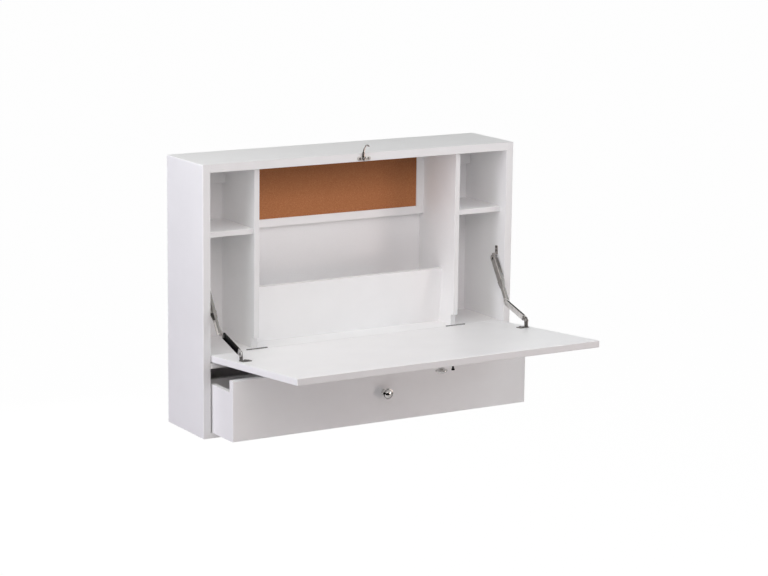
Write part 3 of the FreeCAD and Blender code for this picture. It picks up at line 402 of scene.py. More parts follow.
@dataclass
class Finishes:
    """Every finish of the desk, made once."""

    lacquer: Material = once(SprayedLacquer().make)
    # Lacquer copies with painted shade on the faces that look into the room: the case boards' and
    # the flap's front edges.
    front_shaded: Material = once(SprayedLacquer("lacquered_case_board", edge="#F0F0F0").make)
    flap_front_shaded: Material = once(SprayedLacquer("lacquered_flap_board", edge="#EAEAEA").make)
    hardboard: Material = once(FacedHardboard().make)
    cork: Material = once(GranulatedCork().make)
    beech: Material = once(TurnedBeech().make)
    polished: Material = once(PlatedMetal(Plating.POLISHED, "#DAD8D5", "#CBC8C4", 0.07, 0.05).make)
    stamped: Material = once(PlatedMetal(Plating.STAMPED, "#BDB9B5", "#B2AEAA", 0.48, 0.06).make)
    # A lighter copy of nickel: painted light on faces of the stay links.
    bright: Material = once(PlatedMetal(Plating.BRIGHT, "#EFEDEA", "#E4E1DE", 0.42, 0.06).make)
    # Darker nickel on the latch hook: a painted dark reflection.
    cast: Material = once(PlatedMetal(Plating.CAST, "#827F7C", "#6B6865", 0.09, 0.05).make)
    zinc: Material = once(PlatedMetal(Plating.ZINC, "#7D7A77", "#5A5755", 0.24, 0.1).make)
    # A darker copy of nickel: painted shade on hinge leaves, stay feet and the upper links'
    # flanges.
    knuckle: Material = once(PlatedMetal(Plating.KNUCKLE, "#787572", "#6D6B68", 0.4, 0.06).make)
    # Near black nickel: painted shade in the lower links' hollows and on their flanges; also on the
    # latch stud and the latch plate's screws.
    dark: Material = once(PlatedMetal(Plating.DARK, "#1C1A19", "#100F0E", 0.3, 0.1).make)


def dress(node: str, material: Material) -> None:
    """Give a carried-over CAD node its finish.

    Args:
        node: name of the CAD node.
        material: finish for every slot of the node.
    """
    piece = frame["nodes"][node]
    if not piece.material_slots:
        piece.data.materials.append(material)
    for slot in piece.material_slots:
        slot.material = material
    LOG.info("dressed %s in %s", node, material.name)


@dataclass
class SubAssembly:
    """Part of the desk: what it builds, and the CAD nodes that it carries over."""

    finishes: Finishes
    looks: ClassVar[dict[str, tuple[str, ...]]] = {}

    def build(self) -> None:
        """Build the pieces that stand for CAD nodes."""

    def dress(self) -> None:
        """Give every carried-over node its finish."""
        for finish, nodes in self.looks.items():
            for node in nodes:
                dress(node, getattr(self.finishes, finish))


# ------------------------------------------------------------------ forms
class Form:
    """A metal form under construction, in millimetres."""

    FLAT = 1e-6                   # less difference in height than this makes an edge level
    SEAM = 1e-4                   # points closer than this are one

    def __init__(self) -> None:
        """Start an empty form."""
        self.mesh = bmesh.new()

    def lathe(self, profile: Sequence[Point], place: Matrix | None = None,
              steps: int = 48) -> "Form":
        """Spin a profile of (radius, height) round the form's Z axis.

        Args:
            profile: points from one end on the axis to the other.
            place: where the turned form goes.
            steps: segments of the full turn.

        Returns:
            The form itself.
        """
        fresh = bmesh.new()
        points = [fresh.verts.new((radius, 0, height)) for radius, height in profile]
        for first, second in zip(points, points[1:]):
            fresh.edges.new((first, second))
        bmesh.ops.spin(fresh, geom=fresh.verts[:] + fresh.edges[:], cent=(0, 0, 0),
                       axis=(0, 0, 1), angle=math.tau, steps=steps, use_merge=True)
        bmesh.ops.remove_doubles(fresh, verts=fresh.verts[:], dist=self.SEAM)
        bmesh.ops.recalc_face_normals(fresh, faces=fresh.faces[:])
        return self.take(fresh, place)

    def plate(self, outline: Sequence[Point], thickness: float,
              place: Matrix | None = None, bevel: float = 0.0, segments: int = 2,
              mark: Callable[[bmesh.types.BMFace], int] | None = None) -> "Form":
        """Extrude a flat outline along Z.

        Args:
            outline: corners in XY, anticlockwise.
            thickness: height of the plate.
            place: where the plate goes.
            bevel: rounding of the plate's rims.
            segments: steps of that rounding.
            mark: tells the finish number of a face, drawn flat.

        Returns:
            The form itself.
        """
        fresh = bmesh.new()
        face = fresh.faces.new([fresh.verts.new((x, y, 0)) for x, y in outline])
        grown = bmesh.ops.extrude_face_region(fresh, geom=[face])
        lifted = [item for item in grown["geom"] if isinstance(item, bmesh.types.BMVert)]
        bmesh.ops.translate(fresh, verts=lifted, vec=(0, 0, thickness))
        bmesh.ops.recalc_face_normals(fresh, faces=fresh.faces[:])
        if bevel:
            rims = [edge for edge in fresh.edges
                    if abs(edge.verts[0].co.z - edge.verts[1].co.z) < self.FLAT]
            bmesh.ops.bevel(fresh, geom=rims, offset=bevel, affect="EDGES", segments=segments,
                            profile=0.5, material=-1, clamp_overlap=True)
        if mark:
            for face in fresh.faces:
                face.material_index = mark(face)
        return self.take(fresh, place)

    def take(self, fresh: bmesh.types.BMesh, place: Matrix | None) -> "Form":
        """Move a fresh mesh to its place and add it to the form.

        Args:
            fresh: mesh to add, which is freed.
            place: where it goes, or None if it is there.

        Returns:
            The form itself.
        """
        if place is not None:
            bmesh.ops.transform(fresh, matrix=place, verts=fresh.verts[:])
        temporary = bpy.data.meshes.new("take")
        fresh.to_mesh(temporary)
        fresh.free()
        self.mesh.from_mesh(temporary)
        bpy.data.meshes.remove(temporary)
        return self

    def finish(self, name: str, materials: Sequence[Material], body: str, slot: str,
               stands_for: Iterable[str] = (), crease: float = 38.0) -> bpy.types.Object:
        """Turn the form into a piece of the desk.

        Args:
            name: the piece's name.
            materials: its finishes, in the order of their numbers.
            body: the body that it rides on.
            slot: the record's material slot; not used.
            stands_for: CAD nodes that it replaces.
            crease: degrees past which an edge stays sharp.

        Returns:
            The finished object.
        """
        bmesh.ops.scale(self.mesh, vec=(MM, MM, MM), verts=self.mesh.verts[:])
        for face in self.mesh.faces:
            face.smooth = True
        for edge in self.mesh.edges:
            if edge.is_manifold and edge.calc_face_angle(0) > math.radians(crease):
                edge.smooth = False
        mesh = bpy.data.meshes.new(name)
        self.mesh.to_mesh(mesh)
        self.mesh.free()
        for material in materials:
            mesh.materials.append(material)
        piece = bpy.data.objects.new(name, mesh)
        bpy.context.scene.collection.objects.link(piece)
        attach(piece, body)
        if stands_for:
            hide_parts(*stands_for)
        LOG.info("built %s on %s with %d faces", name, body, len(mesh.polygons))
        return piece


def arc_points(centre: Point, radius: float, start: float, stop: float,
               count: int) -> list[Point]:
    """Points on an arc.

    Args:
        centre: middle of the arc.
        radius: its radius.
        start: first angle in degrees.
        stop: last angle in degrees.
        count: number of points.

    Returns:
        The points from start to stop.
    """
    angles = [math.radians(start + (stop - start) * k / (count - 1)) for k in range(count)]
    return [(centre[0] + radius * math.cos(a), centre[1] + radius * math.sin(a)) for a in angles]


def arc_through(start: Vector, middle: Vector, end: Vector) -> tuple[Vector, float, float, float]:
    """Circle through three points.

    Args:
        start: first point.
        middle: point between.
        end: last point.

    Returns:
        Centre, radius, angle of the start and signed sweep to the end, in radians.
    """
    a, b = middle - start, end - start
    cross = 2 * (a.x * b.y - a.y * b.x)
    offset = Vector((b.y * a.length_squared - a.y * b.length_squared,
                     a.x * b.length_squared - b.x * a.length_squared)) / cross
    centre = start + offset
    angles = [math.atan2(point.y - centre.y, point.x - centre.x) for point in (start, middle, end)]
    turn = (angles[2] - angles[0]) % math.tau
    if (angles[1] - angles[0]) % math.tau > turn:
        turn -= math.tau
    return centre, offset.length, angles[0], turn


def rounded_plate(width: float, height: float, radius: float, count: int) -> list[Point]:
    """Outline of a plate with round corners, centred.

    Args:
        width: extent along X.
        height: extent along Y.
        radius: corner radius.
        count: points on each corner.

    Returns:
        The outline, anticlockwise.
    """
    x, y = width / 2 - radius, height / 2 - radius
    outline: list[Point] = []
    for centre, start in (((x, y), 0), ((-x, y), 90), ((-x, -y), 180), ((x, -y), 270)):
        outline += arc_points(centre, radius, start, start + 90, count)
    return outline


def aim(at: Vector, outward: Vector) -> Matrix:
    """Matrix that stands a form's Z axis on a point, along a direction.

    Args:
        at: the point, in millimetres.
        outward: direction of the form's Z axis.

    Returns:
        The placing matrix.
    """
    turn = Vector((0, 0, 1)).rotation_difference(outward.normalized())
    return Matrix.Translation(at) @ turn.to_matrix().to_4x4()


def joint(name: str) -> dict:
    """The frame's joint of that name."""
    return next(item for item in frame["joints"] if item["name"] == name)


def box_mm(node: str) -> tuple[Vector, Vector]:
    """Lowest and highest corner of a CAD node in millimetres."""
    low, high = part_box(node)
    return low / MM, high / MM


# ------------------------------------------------------------------ screws
@dataclass
class Screw:
    """Countersunk wood screw with a cross recess."""

    head_radius: float = 2.8
    head_height: float = 1.3
    crown: float = 0.12           # how far the middle of the head stands up
    recess: float = 0.9
    shank_radius: float = 1.5
    length: float = 11.0
    tip_share: float = 0.25       # part of the length that narrows to the point
    point_share: float = 0.2      # radius of the point, against the shank
    corners: int = 16
    slope: tuple[Point, ...] = ((0.93, 0.55), (0.72, 0.9))  # shares of radius and of crown
    mouth: float = 0.58           # the recess at the surface, against the head
    floor: float = 0.34           # and at its bottom
    # The cross from one arm to the next: share of its reach, and degrees that a corner leans.
    arms: tuple[Point, ...] = ((1.0, 0.0), (0.86, -9.0), (0.3, 0.0), (0.86, 9.0))

    def head(self, form: Form, at: Vector, outward: Vector) -> None:
        """Add one screw to a form.

        Args:
            form: form that grows.
            at: middle of the head's outer face.
            outward: direction out of the board.
        """
        fresh = bmesh.new()
        bmesh.ops.create_circle(fresh, cap_ends=False, radius=self.head_radius,
                                segments=self.corners)
        loop = fresh.edges[:]
        for radius, height in self.slope:
            loop = self._grow(fresh, loop, radius * self.head_radius, self.crown * height)
        for share, height in ((self.mouth, self.crown), (self.floor, self.crown - self.recess)):
            loop = self._grow(fresh, loop, self.head_radius * share, height, cross=True)
        bmesh.ops.contextual_create(fresh, geom=loop)
        outer = [edge for edge in fresh.edges if edge.is_boundary]
        loop = self._grow(fresh, outer, self.shank_radius, -self.head_height)
        loop = self._grow(fresh, loop, self.shank_radius, -self.length * (1 - self.tip_share))
        loop = self._grow(fresh, loop, self.shank_radius * self.point_share, -self.length)
        bmesh.ops.contextual_create(fresh, geom=loop)
        bmesh.ops.recalc_face_normals(fresh, faces=fresh.faces[:])
        form.take(fresh, aim(at, outward))

    def _grow(self, fresh: bmesh.types.BMesh, loop: list, radius: float, height: float,
              cross: bool = False) -> list:
        """Extrude a ring of edges to another radius and height.

        Args:
            fresh: mesh of the screw.
            loop: edges of the last ring.
            radius: radius of the new ring.
            height: its height.
            cross: the new ring is the outline of a cross whose arms reach to the radius.

        Returns:
            Edges of the new ring.
        """
        grown = bmesh.ops.extrude_edge_only(fresh, edges=loop)["geom"]
        for point in (item for item in grown if isinstance(item, bmesh.types.BMVert)):
            angle, reach = math.atan2(point.co.y, point.co.x), radius
            if cross:
                corner = round(angle / (math.tau / self.corners)) % len(self.arms)
                share, lean = self.arms[corner]
                reach, angle = radius * share, angle + math.radians(lean)
            point.co = Vector((reach * math.cos(angle), reach * math.sin(angle), height))
        return [item for item in grown if isinstance(item, bmesh.types.BMEdge)]


# ------------------------------------------------------------------ knobs
@dataclass
class Knob:
    """Turned mushroom knob with a beaded rim."""

    radius: float = 12.9
    height: float = 22.9
    neck: float = 4.2
    foot: float = 7.0
    bead: float = 2.4             # radius of the bead round the crown
    steps: int = 64

    def profile(self) -> list[Point]:
        """Profile from the middle of the foot to the crown.

        Returns:
            Points of (radius, height).
        """
        r, h = self.radius, self.height
        rim = self.foot * 0.9
        foot = [(0.0, 0.0), (self.foot, 0.0), (self.foot, 0.9), (rim, 1.5)]
        waist = [(self.neck + (rim - self.neck) * (1 - k / 5) ** 2.2, 1.5 + k * 1.15)
                 for k in range(1, 6)]
        flare = [(self.neck + 0.1, h * 0.38), (self.neck + 1.0, h * 0.455), (r * 0.6, h * 0.53)]
        bead = arc_points((r - self.bead, h * 0.7), self.bead, -75, 78, 9)
        groove = [(r * 0.775, h * 0.793), (r * 0.745, h * 0.797), (r * 0.715, h * 0.815)]
        dome = [(r * 0.7 * math.cos(math.radians(angle)),
                 h * 0.815 + h * 0.18 * math.sin(math.radians(angle)))
                for angle in range(10, 90, 10)]
        return foot + waist + flare + bead + groove + dome + [(0.0, h * 0.997)]

    def build(self, seat: Vector, outward: Vector, name: str, metal: Material, body: str,
              node: str) -> bpy.types.Object:
        """Turn the knob on its seat.

        Args:
            seat: middle of the foot.
            outward: direction of the knob.
            name: piece name.
            metal: its finish.
            body: body it rides on.
            node: CAD node it stands for.

        Returns:
            The knob.
        """
        form = Form().lathe(self.profile(), aim(seat, outward), self.steps)
        return form.finish(name, [metal], body, "polished_nickel", [node], crease=50.0)


# ------------------------------------------------------------------ case
@dataclass
class Case(SubAssembly):
    """Boards of the case, writing bay, pinboard and pocket."""

    looks = {
        # The case boards take the lacquer with painted shade on their front edges.
        "front_shaded": ("side_board_left", "side_board_right", "top_board", "bottom_board",
                  "floor_board", "divider_left", "divider_right", "cubby_shelf_left",
                  "cubby_shelf_right"),
        "lacquer": ("front_rail", "hanging_rail_left", "hanging_rail_right",
                    "pinboard_top_strip", "pinboard_ledge", "pinboard_stile_left",
                    "pinboard_stile_right", "pocket_front"),
        "hardboard": ("back_panel", "cork_backing"),
        "cork": ("cork_sheet",),
        "beech": ("case_dowels",),
        "zinc": ("back_panel_pins",),
    }


# ------------------------------------------------------------------ flap and hinges
@dataclass
class Flap(SubAssembly):
    """Writing flap with its knob, latch stud and butt hinges."""

    looks = {
        # The flap board takes the lacquer with a deeper painted shade on its front edge.
        "flap_front_shaded": ("flap_board",),
        # The hinge leaves take the darker nickel, a painted shade.
        "knuckle": ("hinge_floor_leaf_left", "hinge_floor_leaf_right", "hinge_flap_leaf_left",
                    "hinge_flap_leaf_right"),
        "zinc": ("hinge_pins", "hinge_floor_screws", "hinge_flap_screws"),
        "polished": ("latch_keeper_plate",),
        "dark": ("latch_stud",),
    }
    thickness: float = 15.0
    reach: float = 389.0
    knob_inset: float = 50.0
    rest_tilt: float = 4.4

    def tilt(self) -> Matrix:
        """Matrix from the level flap to the flap at rest."""
        pivot = Matrix.Translation(self.axis())
        return pivot @ Matrix.Rotation(math.radians(-self.rest_tilt), 4, "X") @ pivot.inverted()

    def axis(self) -> Vector:
        """A point on the flap's hinge axis, in millimetres."""
        return Vector(joint("flap_fold")["pos_m"]) / MM

    def build(self) -> None:
        """Build the knob."""
        axis, tilt = self.axis(), self.tilt()
        seat = Vector((0, axis.y - self.reach + self.knob_inset, axis.z - self.thickness))
        outward = tilt.to_3x3() @ Vector((0, 0, -1))
        Knob().build(tilt @ seat, outward, "turned_flap_knob", self.finishes.polished, "flap",
                     "flap_knob")


# ------------------------------------------------------------------ folding stays
@dataclass
class Stay(SubAssembly):
    """One folding stay: bracket, channel links, foot and rivets, stamped from nickelled steel."""

    side: str
    upper: float = 104.96
    lower: float = 91.52
    upper_width: float = 17.0
    tongue: float = 11.5
    lower_width: float = 13.0
    metal: float = 1.4
    upper_flange: float = 7.0
    tongue_flange: float = 5.0
    lower_flange: float = 4.0
    upper_flange_start: float = 2.0
    lower_flange_start: float = 9.0
    shoulder_share: float = 0.53
    bend: float = 1.6
    rivet_radius: float = 3.4
    rivet_height: float = 1.0
    slack: float = 0.2            # by which a fold's inner radius exceeds an even wall
    web_normal: float = -0.3      # a face that looks down by more is the web's outside
    rim: float = 0.1              # depth of a flange that counts as its rim
    eye_points: int = 13
    rivet_steps: int = 24

    @property
    def sign(self) -> float:
        """Direction of the side board: +1 right, -1 left."""
        return 1.0 if self.side == "right" else -1.0

    def pivots(self) -> tuple[Vector, Vector, Vector]:
        """Pivots of the links.

        Returns:
            Side pivot, elbow and foot pivot as (0, y, z) in millimetres.
        """
        top = Vector(joint(f"upper_link_{self.side}_turn")["pos_m"]) / MM
        foot = Vector(joint(f"lower_link_{self.side}_turn")["pos_m"]) / MM
        top.x = foot.x = 0
        span = (foot - top).length
        along = (self.upper ** 2 - self.lower ** 2 + span ** 2) / (2 * span)
        aside = math.sqrt(self.upper ** 2 - along ** 2)
        ahead = (foot - top).normalized()
        across = Vector((0, -ahead.z, ahead.y))
        return top, top + ahead * along + across * aside, foot

    def inner_face(self, node: str) -> float:
        """Distance from the middle of the desk to the inner face of this side's node."""
        low, high = box_mm(f"{node}_{self.side}")
        return low.x if self.sign > 0 else -high.x

    def rivet_head(self, rise: int) -> list[Point]:
        """Profile of a low domed rivet head that rises (+1) or falls (-1) along the form's Z."""
        crown = [(0, self.rivet_height), (2.2, 0.95), (3.0, 0.6), (self.rivet_radius, 0.0), (0, 0)]
        return [(radius, rise * height) for radius, height in crown]

    def frame_at(self, start: Vector, end: Vector, x: float) -> Matrix:
        """Matrix of a link: its Y axis runs from start to end, its Z axis to the side board.

        Args:
            start: first pivot.
            end: second pivot.
            x: distance of the link's inner face from the middle of the desk.

        Returns:
            The placing matrix.
        """
        ahead = (end - start).normalized()
        out = Vector((self.sign, 0, 0))
        across = ahead.cross(out)
        turn = Matrix((across, ahead, out)).transposed().to_4x4()
        return Matrix.Translation((self.sign * x, start.y, start.z)) @ turn

    def channel(self, form: Form, width: float, flange: float, run: tuple[float, float],
                place: Matrix, hollow: int, closed: bool = False) -> None:
        """Add the folded channel part of a link.

        Args:
            form: form that grows.
            width: width over the flanges.
            flange: depth of the flanges below the web.
            run: where the flanges begin and end along the link.
            place: the link's matrix.
            hollow: finish number of the hollow; the web's outside is 0 and the flanges are 1.
            closed: a wall closes the channel at each end, as in a tray.
        """
        half, t, b = width / 2, self.metal, self.bend
        fold = b + self.slack
        depth, (start, stop) = flange + t, run
        outer = [(-half, depth)] + arc_points((-half + b, b), b, 180, 270, 5)
        outer += arc_points((half - b, b), b, 270, 360, 5) + [(half, depth)]
        inner = [(half - t, depth)] + arc_points((half - fold, fold), fold - t, 0, -90, 4)
        inner += arc_points((-half + fold, fold), fold - t, 270, 180, 4) + [(-half + t, depth)]
        stand = place @ LENGTHWISE

        def side_of(face: bmesh.types.BMFace) -> int:
            """Tell the finish of a face.

            Args:
                face: face of the flat drawing.

            Returns:
                0 for the web's outside, 1 for flanges and their rims, or the hollow's number.
            """
            centre = face.calc_center_median()
            if face.normal.y < self.web_normal:
                return 0
            at_rim = centre.y > depth - self.rim
            return 1 if at_rim or face.normal.x * centre.x > 0 else hollow

        form.plate(outer + inner, stop - start, stand @ Matrix.Translation((0, 0, start)),
                   mark=side_of)
        for at in (start, stop - t) if closed else ():
            form.plate(outer, t, stand @ Matrix.Translation((0, 0, at)))

    def build(self) -> None:
        """Build every piece of the stay."""
        top, elbow, foot = self.pivots()
        self._upper(top, elbow, self.inner_face("stay_upper_link"))
        self._lower(elbow, foot, self.inner_face("stay_elbow_rivet") + self.rivet_height)

    def _upper(self, top: Vector, elbow: Vector, x: float) -> None:
        """Upper link: wide channel, taper and slim channel with a boss at its eye.

        Args:
            top: pivot on the side board.
            elbow: pivot at the elbow.
            x: distance of the link's inner face from the middle of the desk.
        """
        form = Form()
        place = self.frame_at(top, elbow, x)
        wide, slim = self.upper_width / 2, self.tongue / 2
        shoulder = self.upper * self.shoulder_share
        neck = shoulder + self.upper_width
        eye = arc_points((0, 0), wide, 180, 360, self.eye_points)
        form.plate(eye + [(wide, self.upper_flange_start), (-wide, self.upper_flange_start)],
                   self.metal, place)
        self.channel(form, self.upper_width, self.upper_flange, (self.upper_flange_start, shoulder),
                     place, hollow=2)
        form.plate([(-wide, shoulder), (wide, shoulder), (slim, neck), (-slim, neck)],
                   self.metal, place)
        for hand in (-1, 1):
            self._taper_flange(form, Vector((hand * wide, shoulder)), Vector((hand * slim, neck)),
                               place)
        self.channel(form, self.tongue, self.tongue_flange, (neck, self.upper), place, hollow=2)
        form.plate(arc_points((0, self.upper), slim, 0, 180, self.eye_points), self.metal, place)
        form.lathe(self.rivet_head(1), place @ Matrix.Translation((0, self.upper, self.metal)),
                   self.rivet_steps)
        # The flanges take the darker nickel and the hollow the lighter one: painted shade and
        # painted light on one stamping.
        metals = [self.finishes.stamped, self.finishes.knuckle, self.finishes.bright]
        form.finish(f"channel_link_upper_{self.side}", metals, f"upper_link_{self.side}", "nickel",
                    [f"stay_upper_link_{self.side}"])

    def _taper_flange(self, form: Form, start: Vector, stop: Vector, place: Matrix) -> None:
        """Flange along the taper, which loses depth from the channel to the tongue.

        Args:
            form: form that grows.
            start: outer corner at the shoulder.
            stop: outer corner at the neck.
            place: the link's matrix.
        """
        run = stop - start
        ahead = Vector((run.x, run.y, 0)).normalized()
        across = ahead.cross(Vector((0, 0, 1)))
        turn = Matrix((ahead, (0, 0, 1), across)).transposed().to_4x4()
        inward = -self.metal if start.x > 0 else 0.0
        stand = place @ Matrix.Translation((start.x, start.y, 0)) @ turn
        profile = [(0, 0), (run.length, 0), (run.length, self.tongue_flange + self.metal),
                   (0, self.upper_flange + self.metal)]
        form.plate(profile, self.metal, stand @ Matrix.Translation((0, 0, inward)),
                   mark=lambda face: 1)

    def _lower(self, elbow: Vector, foot: Vector, x: float) -> None:
        """Lower link: drawn tray between round eyes, and the elbow rivet.

        Args:
            elbow: pivot at the elbow.
            foot: pivot on the flap.
            x: distance of the link's inner face from the middle of the desk.
        """
        form = Form()
        place = self.frame_at(elbow, foot, x)
        half, start = self.lower_width / 2, self.lower_flange_start
        for angle, y in ((180, 0.0), (0, self.lower)):
            eye = arc_points((0, y), half, angle, angle + 180, self.eye_points)
            edge = start + self.metal if y == 0 else self.lower - start - self.metal
            ends = [(half, edge), (-half, edge)] if y == 0 else [(-half, edge), (half, edge)]
            form.plate(eye + ends, self.metal, place)
        sink = place @ Matrix.Translation((0, 0, -self.lower_flange))
        self.channel(form, self.lower_width, self.lower_flange, (start, self.lower - start), sink,
                     hollow=1, closed=True)
        body = f"lower_link_{self.side}"
        # The web's outside takes the lighter nickel, the hollow and flanges near black nickel:
        # painted light and painted shade on one stamping.
        form.finish(f"channel_link_lower_{self.side}", [self.finishes.bright, self.finishes.dark],
                    body, "nickel", [f"stay_lower_link_{self.side}"])
        Form().lathe(self.rivet_head(-1), place, self.rivet_steps).finish(
            f"domed_elbow_rivet_{self.side}", [self.finishes.polished], body, "nickel",
            [f"stay_elbow_rivet_{self.side}"])


@dataclass
class StayFittings(SubAssembly):
    """Brackets, feet, rivets and screws of both stays."""

    looks = {
        "stamped": ("stay_bracket_left", "stay_bracket_right", "stay_foot_rivets"),
        # The feet take the darker nickel, a painted shade.
        "knuckle": ("stay_foot_left", "stay_foot_right"),
        "polished": ("stay_bracket_rivets",),
        "zinc": ("stay_bracket_screws", "stay_foot_screws"),
    }


# ------------------------------------------------------------------ latch
@dataclass
class Latch(SubAssembly):
    """Hook latch on the top board's front edge."""

    looks = {"polished": ("latch_rivet",)}
    band: float = 3.0             # width of the hook's metal round the stud
    thickness: float = 2.2
    boss: float = 4.6
    play: float = 1.3             # between the hook's mouth and the stud
    stud_radius: float = 2.2
    stud: Point = (6.0, -23.5)    # from the pivot
    curl: float = 40.0            # degrees that the mouth reaches past the stud
    plate_length: float = 33.0
    plate_height: float = 9.6
    plate_metal: float = 1.4
    screw_spread: float = 21.0
    shank: float = 7.6
    heel_share: float = 0.62
    rest_lean: float = 15.0       # degrees from upright when undone
    metal_gap: float = 0.3        # between the plate and the hook
    corner_gap: float = 0.01      # keeps two corners of the plate from meeting in one point
    plate_rounding: float = 0.45
    hook_rounding: float = 0.9
    screw_sink: float = 0.05      # by which a screw's rim lies below the plate's face
    steps: int = 12               # along the shank, of which the ends belong to boss and curl
    screw: Screw = field(default_factory=Screw)

    def hook_outline(self) -> list[Point]:
        """Outline of the hook as it lies on the stud.

        Returns:
            The outline's points, X to the right and Y up from the pivot.
        """
        stud = Vector(self.stud)
        ring = self.stud_radius + self.play + self.band / 2
        out = math.degrees(math.atan2(stud.y, stud.x))
        sideways = math.radians(out + 90)
        heel = stud + ring * Vector((math.cos(sideways), math.sin(sideways)))
        bulge = Vector((heel.x * self.heel_share + ring / 2, heel.y / 2))
        centre, radius, start, sweep = arc_through(Vector((0, 0)), bulge, heel)
        sides: dict[int, list[Point]] = {}
        for side in (-1, 1):
            sides[side] = []
            for step in range(2, self.steps):
                share = step / self.steps
                reach = radius + side * ((1 - share) * self.shank + share * self.band) / 2
                angle = start + sweep * share
                sides[side].append((centre.x + reach * math.cos(angle),
                                    centre.y + reach * math.sin(angle)))
        tip = out - self.curl
        tip_at = (stud.x + ring * math.cos(math.radians(tip)),
                  stud.y + ring * math.sin(math.radians(tip)))
        curl = arc_points(tuple(stud), ring + self.band / 2, out + 90, tip, 14)
        curl += arc_points(tip_at, self.band / 2, tip, tip - 180, 8)[1:-1]
        curl += arc_points(tuple(stud), ring - self.band / 2, tip, out + 90, 14)
        first, last = sides[1][0], sides[-1][0]
        turn = math.degrees(math.atan2(last[1], last[0]))
        stop = math.degrees(math.atan2(first[1], first[0]))
        boss = arc_points((0, 0), self.boss, turn, stop - 360 if stop > turn else stop, 14)
        return sides[1] + curl + sides[-1][::-1] + boss

    def hook_place(self) -> Matrix:
        """Place of the undone hook.

        Returns:
            Matrix from the outline on the stud to that place.
        """
        across, down = self.stud
        swing = 180 - self.rest_lean - math.degrees(math.atan2(across, -down))
        pivot = self.pivot() + Vector((0, -self.plate_metal - self.metal_gap, 0))
        turn = Matrix.Rotation(math.radians(-swing), 4, "Y")
        return Matrix.Translation(pivot) @ turn @ FACING_OUT

    def pivot(self) -> Vector:
        """Find the hook's pivot.

        Returns:
            Its place on the case's front plane, in millimetres.
        """
        place = Vector(joint("latch_hook_swing")["pos_m"]) / MM
        place.y = box_mm("side_board_right")[0].y
        return place

    def build(self) -> None:
        """Build plate, hook and screws."""
        pivot, finishes = self.pivot(), self.finishes
        outline = rounded_plate(self.plate_length, self.plate_height,
                                self.plate_height / 2 - self.corner_gap, 10)
        plate = Form().plate(outline, self.plate_metal, aim(pivot, INTO_ROOM),
                             bevel=self.plate_rounding)
        plate.finish("stamped_latch_plate", [finishes.stamped], "case", "polished_nickel",
                     ["latch_plate"])
        screws = Form()
        for shift in (-self.screw_spread / 2, self.screw_spread / 2):
            at = pivot + Vector((shift, -self.plate_metal + self.screw_sink, 0))
            self.screw.head(screws, at, INTO_ROOM)
        hook = Form().plate(self.hook_outline(), self.thickness, self.hook_place(),
                            bevel=self.hook_rounding, segments=3)
        # The hook's darker nickel is a painted dark reflection.
        hook.finish("cast_latch_hook", [finishes.cast], "latch_hook", "polished_nickel",
                    ["latch_hook"], crease=60.0)
        screws.finish("latch_plate_screws", [finishes.dark], "case", "steel", ["latch_screws"])


# ------------------------------------------------------------------ drawer
@dataclass
class Drawer(SubAssembly):
    """Drawer with its turned knob."""

    looks = {
        "lacquer": ("drawer_front", "drawer_side_left", "drawer_side_right", "drawer_back"),
        "hardboard": ("drawer_bottom",),
        "zinc": ("drawer_knob_bolt",),
    }

    def build(self) -> None:
        """Turn the drawer's knob."""
        low, high = box_mm("drawer_front")
        seat = Vector((0, low.y, (low.z + high.z) / 2))
        Knob().build(seat, INTO_ROOM, "turned_drawer_knob", self.finishes.polished, "drawer",
                     "drawer_knob")


# ------------------------------------------------------------------ studio
def direction(azimuth: float, elevation: float) -> Vector:
    """Unit vector from the desk to a place seen under two angles.

    Args:
        azimuth: degrees from straight in front, to the right.
        elevation: degrees above level.

    Returns:
        The direction.
    """
    turn, rise = math.radians(azimuth), math.radians(elevation)
    return Vector((math.sin(turn) * math.cos(rise), -math.cos(turn) * math.cos(rise),
                   math.sin(rise)))


def stage_sheet(name: str, size: Point, segments: int, place: Matrix,
                material: Material) -> bpy.types.Object:
    """Lay a flat sheet of the studio, which is no part of the desk.

    Args:
        name: name of the sheet.
        size: its two sides, in metres.
        segments: faces along each side.
        place: where it goes.
        material: its material.

    Returns:
        The sheet.
    """
    grid = bmesh.new()
    bmesh.ops.create_grid(grid, x_segments=segments, y_segments=segments, size=0.5)
    bmesh.ops.scale(grid, vec=(*size, 1), verts=grid.verts[:])
    bmesh.ops.transform(grid, matrix=place, verts=grid.verts[:])
    mesh = bpy.data.meshes.new(name)
    grid.to_mesh(mesh)
    grid.free()
    mesh.materials.append(material)
    sheet = bpy.data.objects.new(name, mesh)
    bpy.context.scene.collection.objects.link(sheet)
    return sheet


@dataclass
class SoftBox:
    """One area lamp."""

    name: str
    place: tuple[float, float, float]
    target: tuple[float, float, float]
    size: float
    power: float
    tint: str

    def build(self) -> None:
        """Hang the lamp and aim it."""
        lamp = bpy.data.lights.new(self.name, "AREA")
        lamp.shape = "SQUARE"
        lamp.size = self.size
        lamp.energy = self.power
        lamp.color = linear(self.tint)[:3]
        piece = bpy.data.objects.new(self.name, lamp)
        aimed = (Vector(self.target) - Vector(self.place)).to_track_quat("-Z", "Y")
        piece.matrix_world = Matrix.Translation(self.place) @ aimed.to_matrix().to_4x4()
        bpy.context.scene.collection.objects.link(piece)


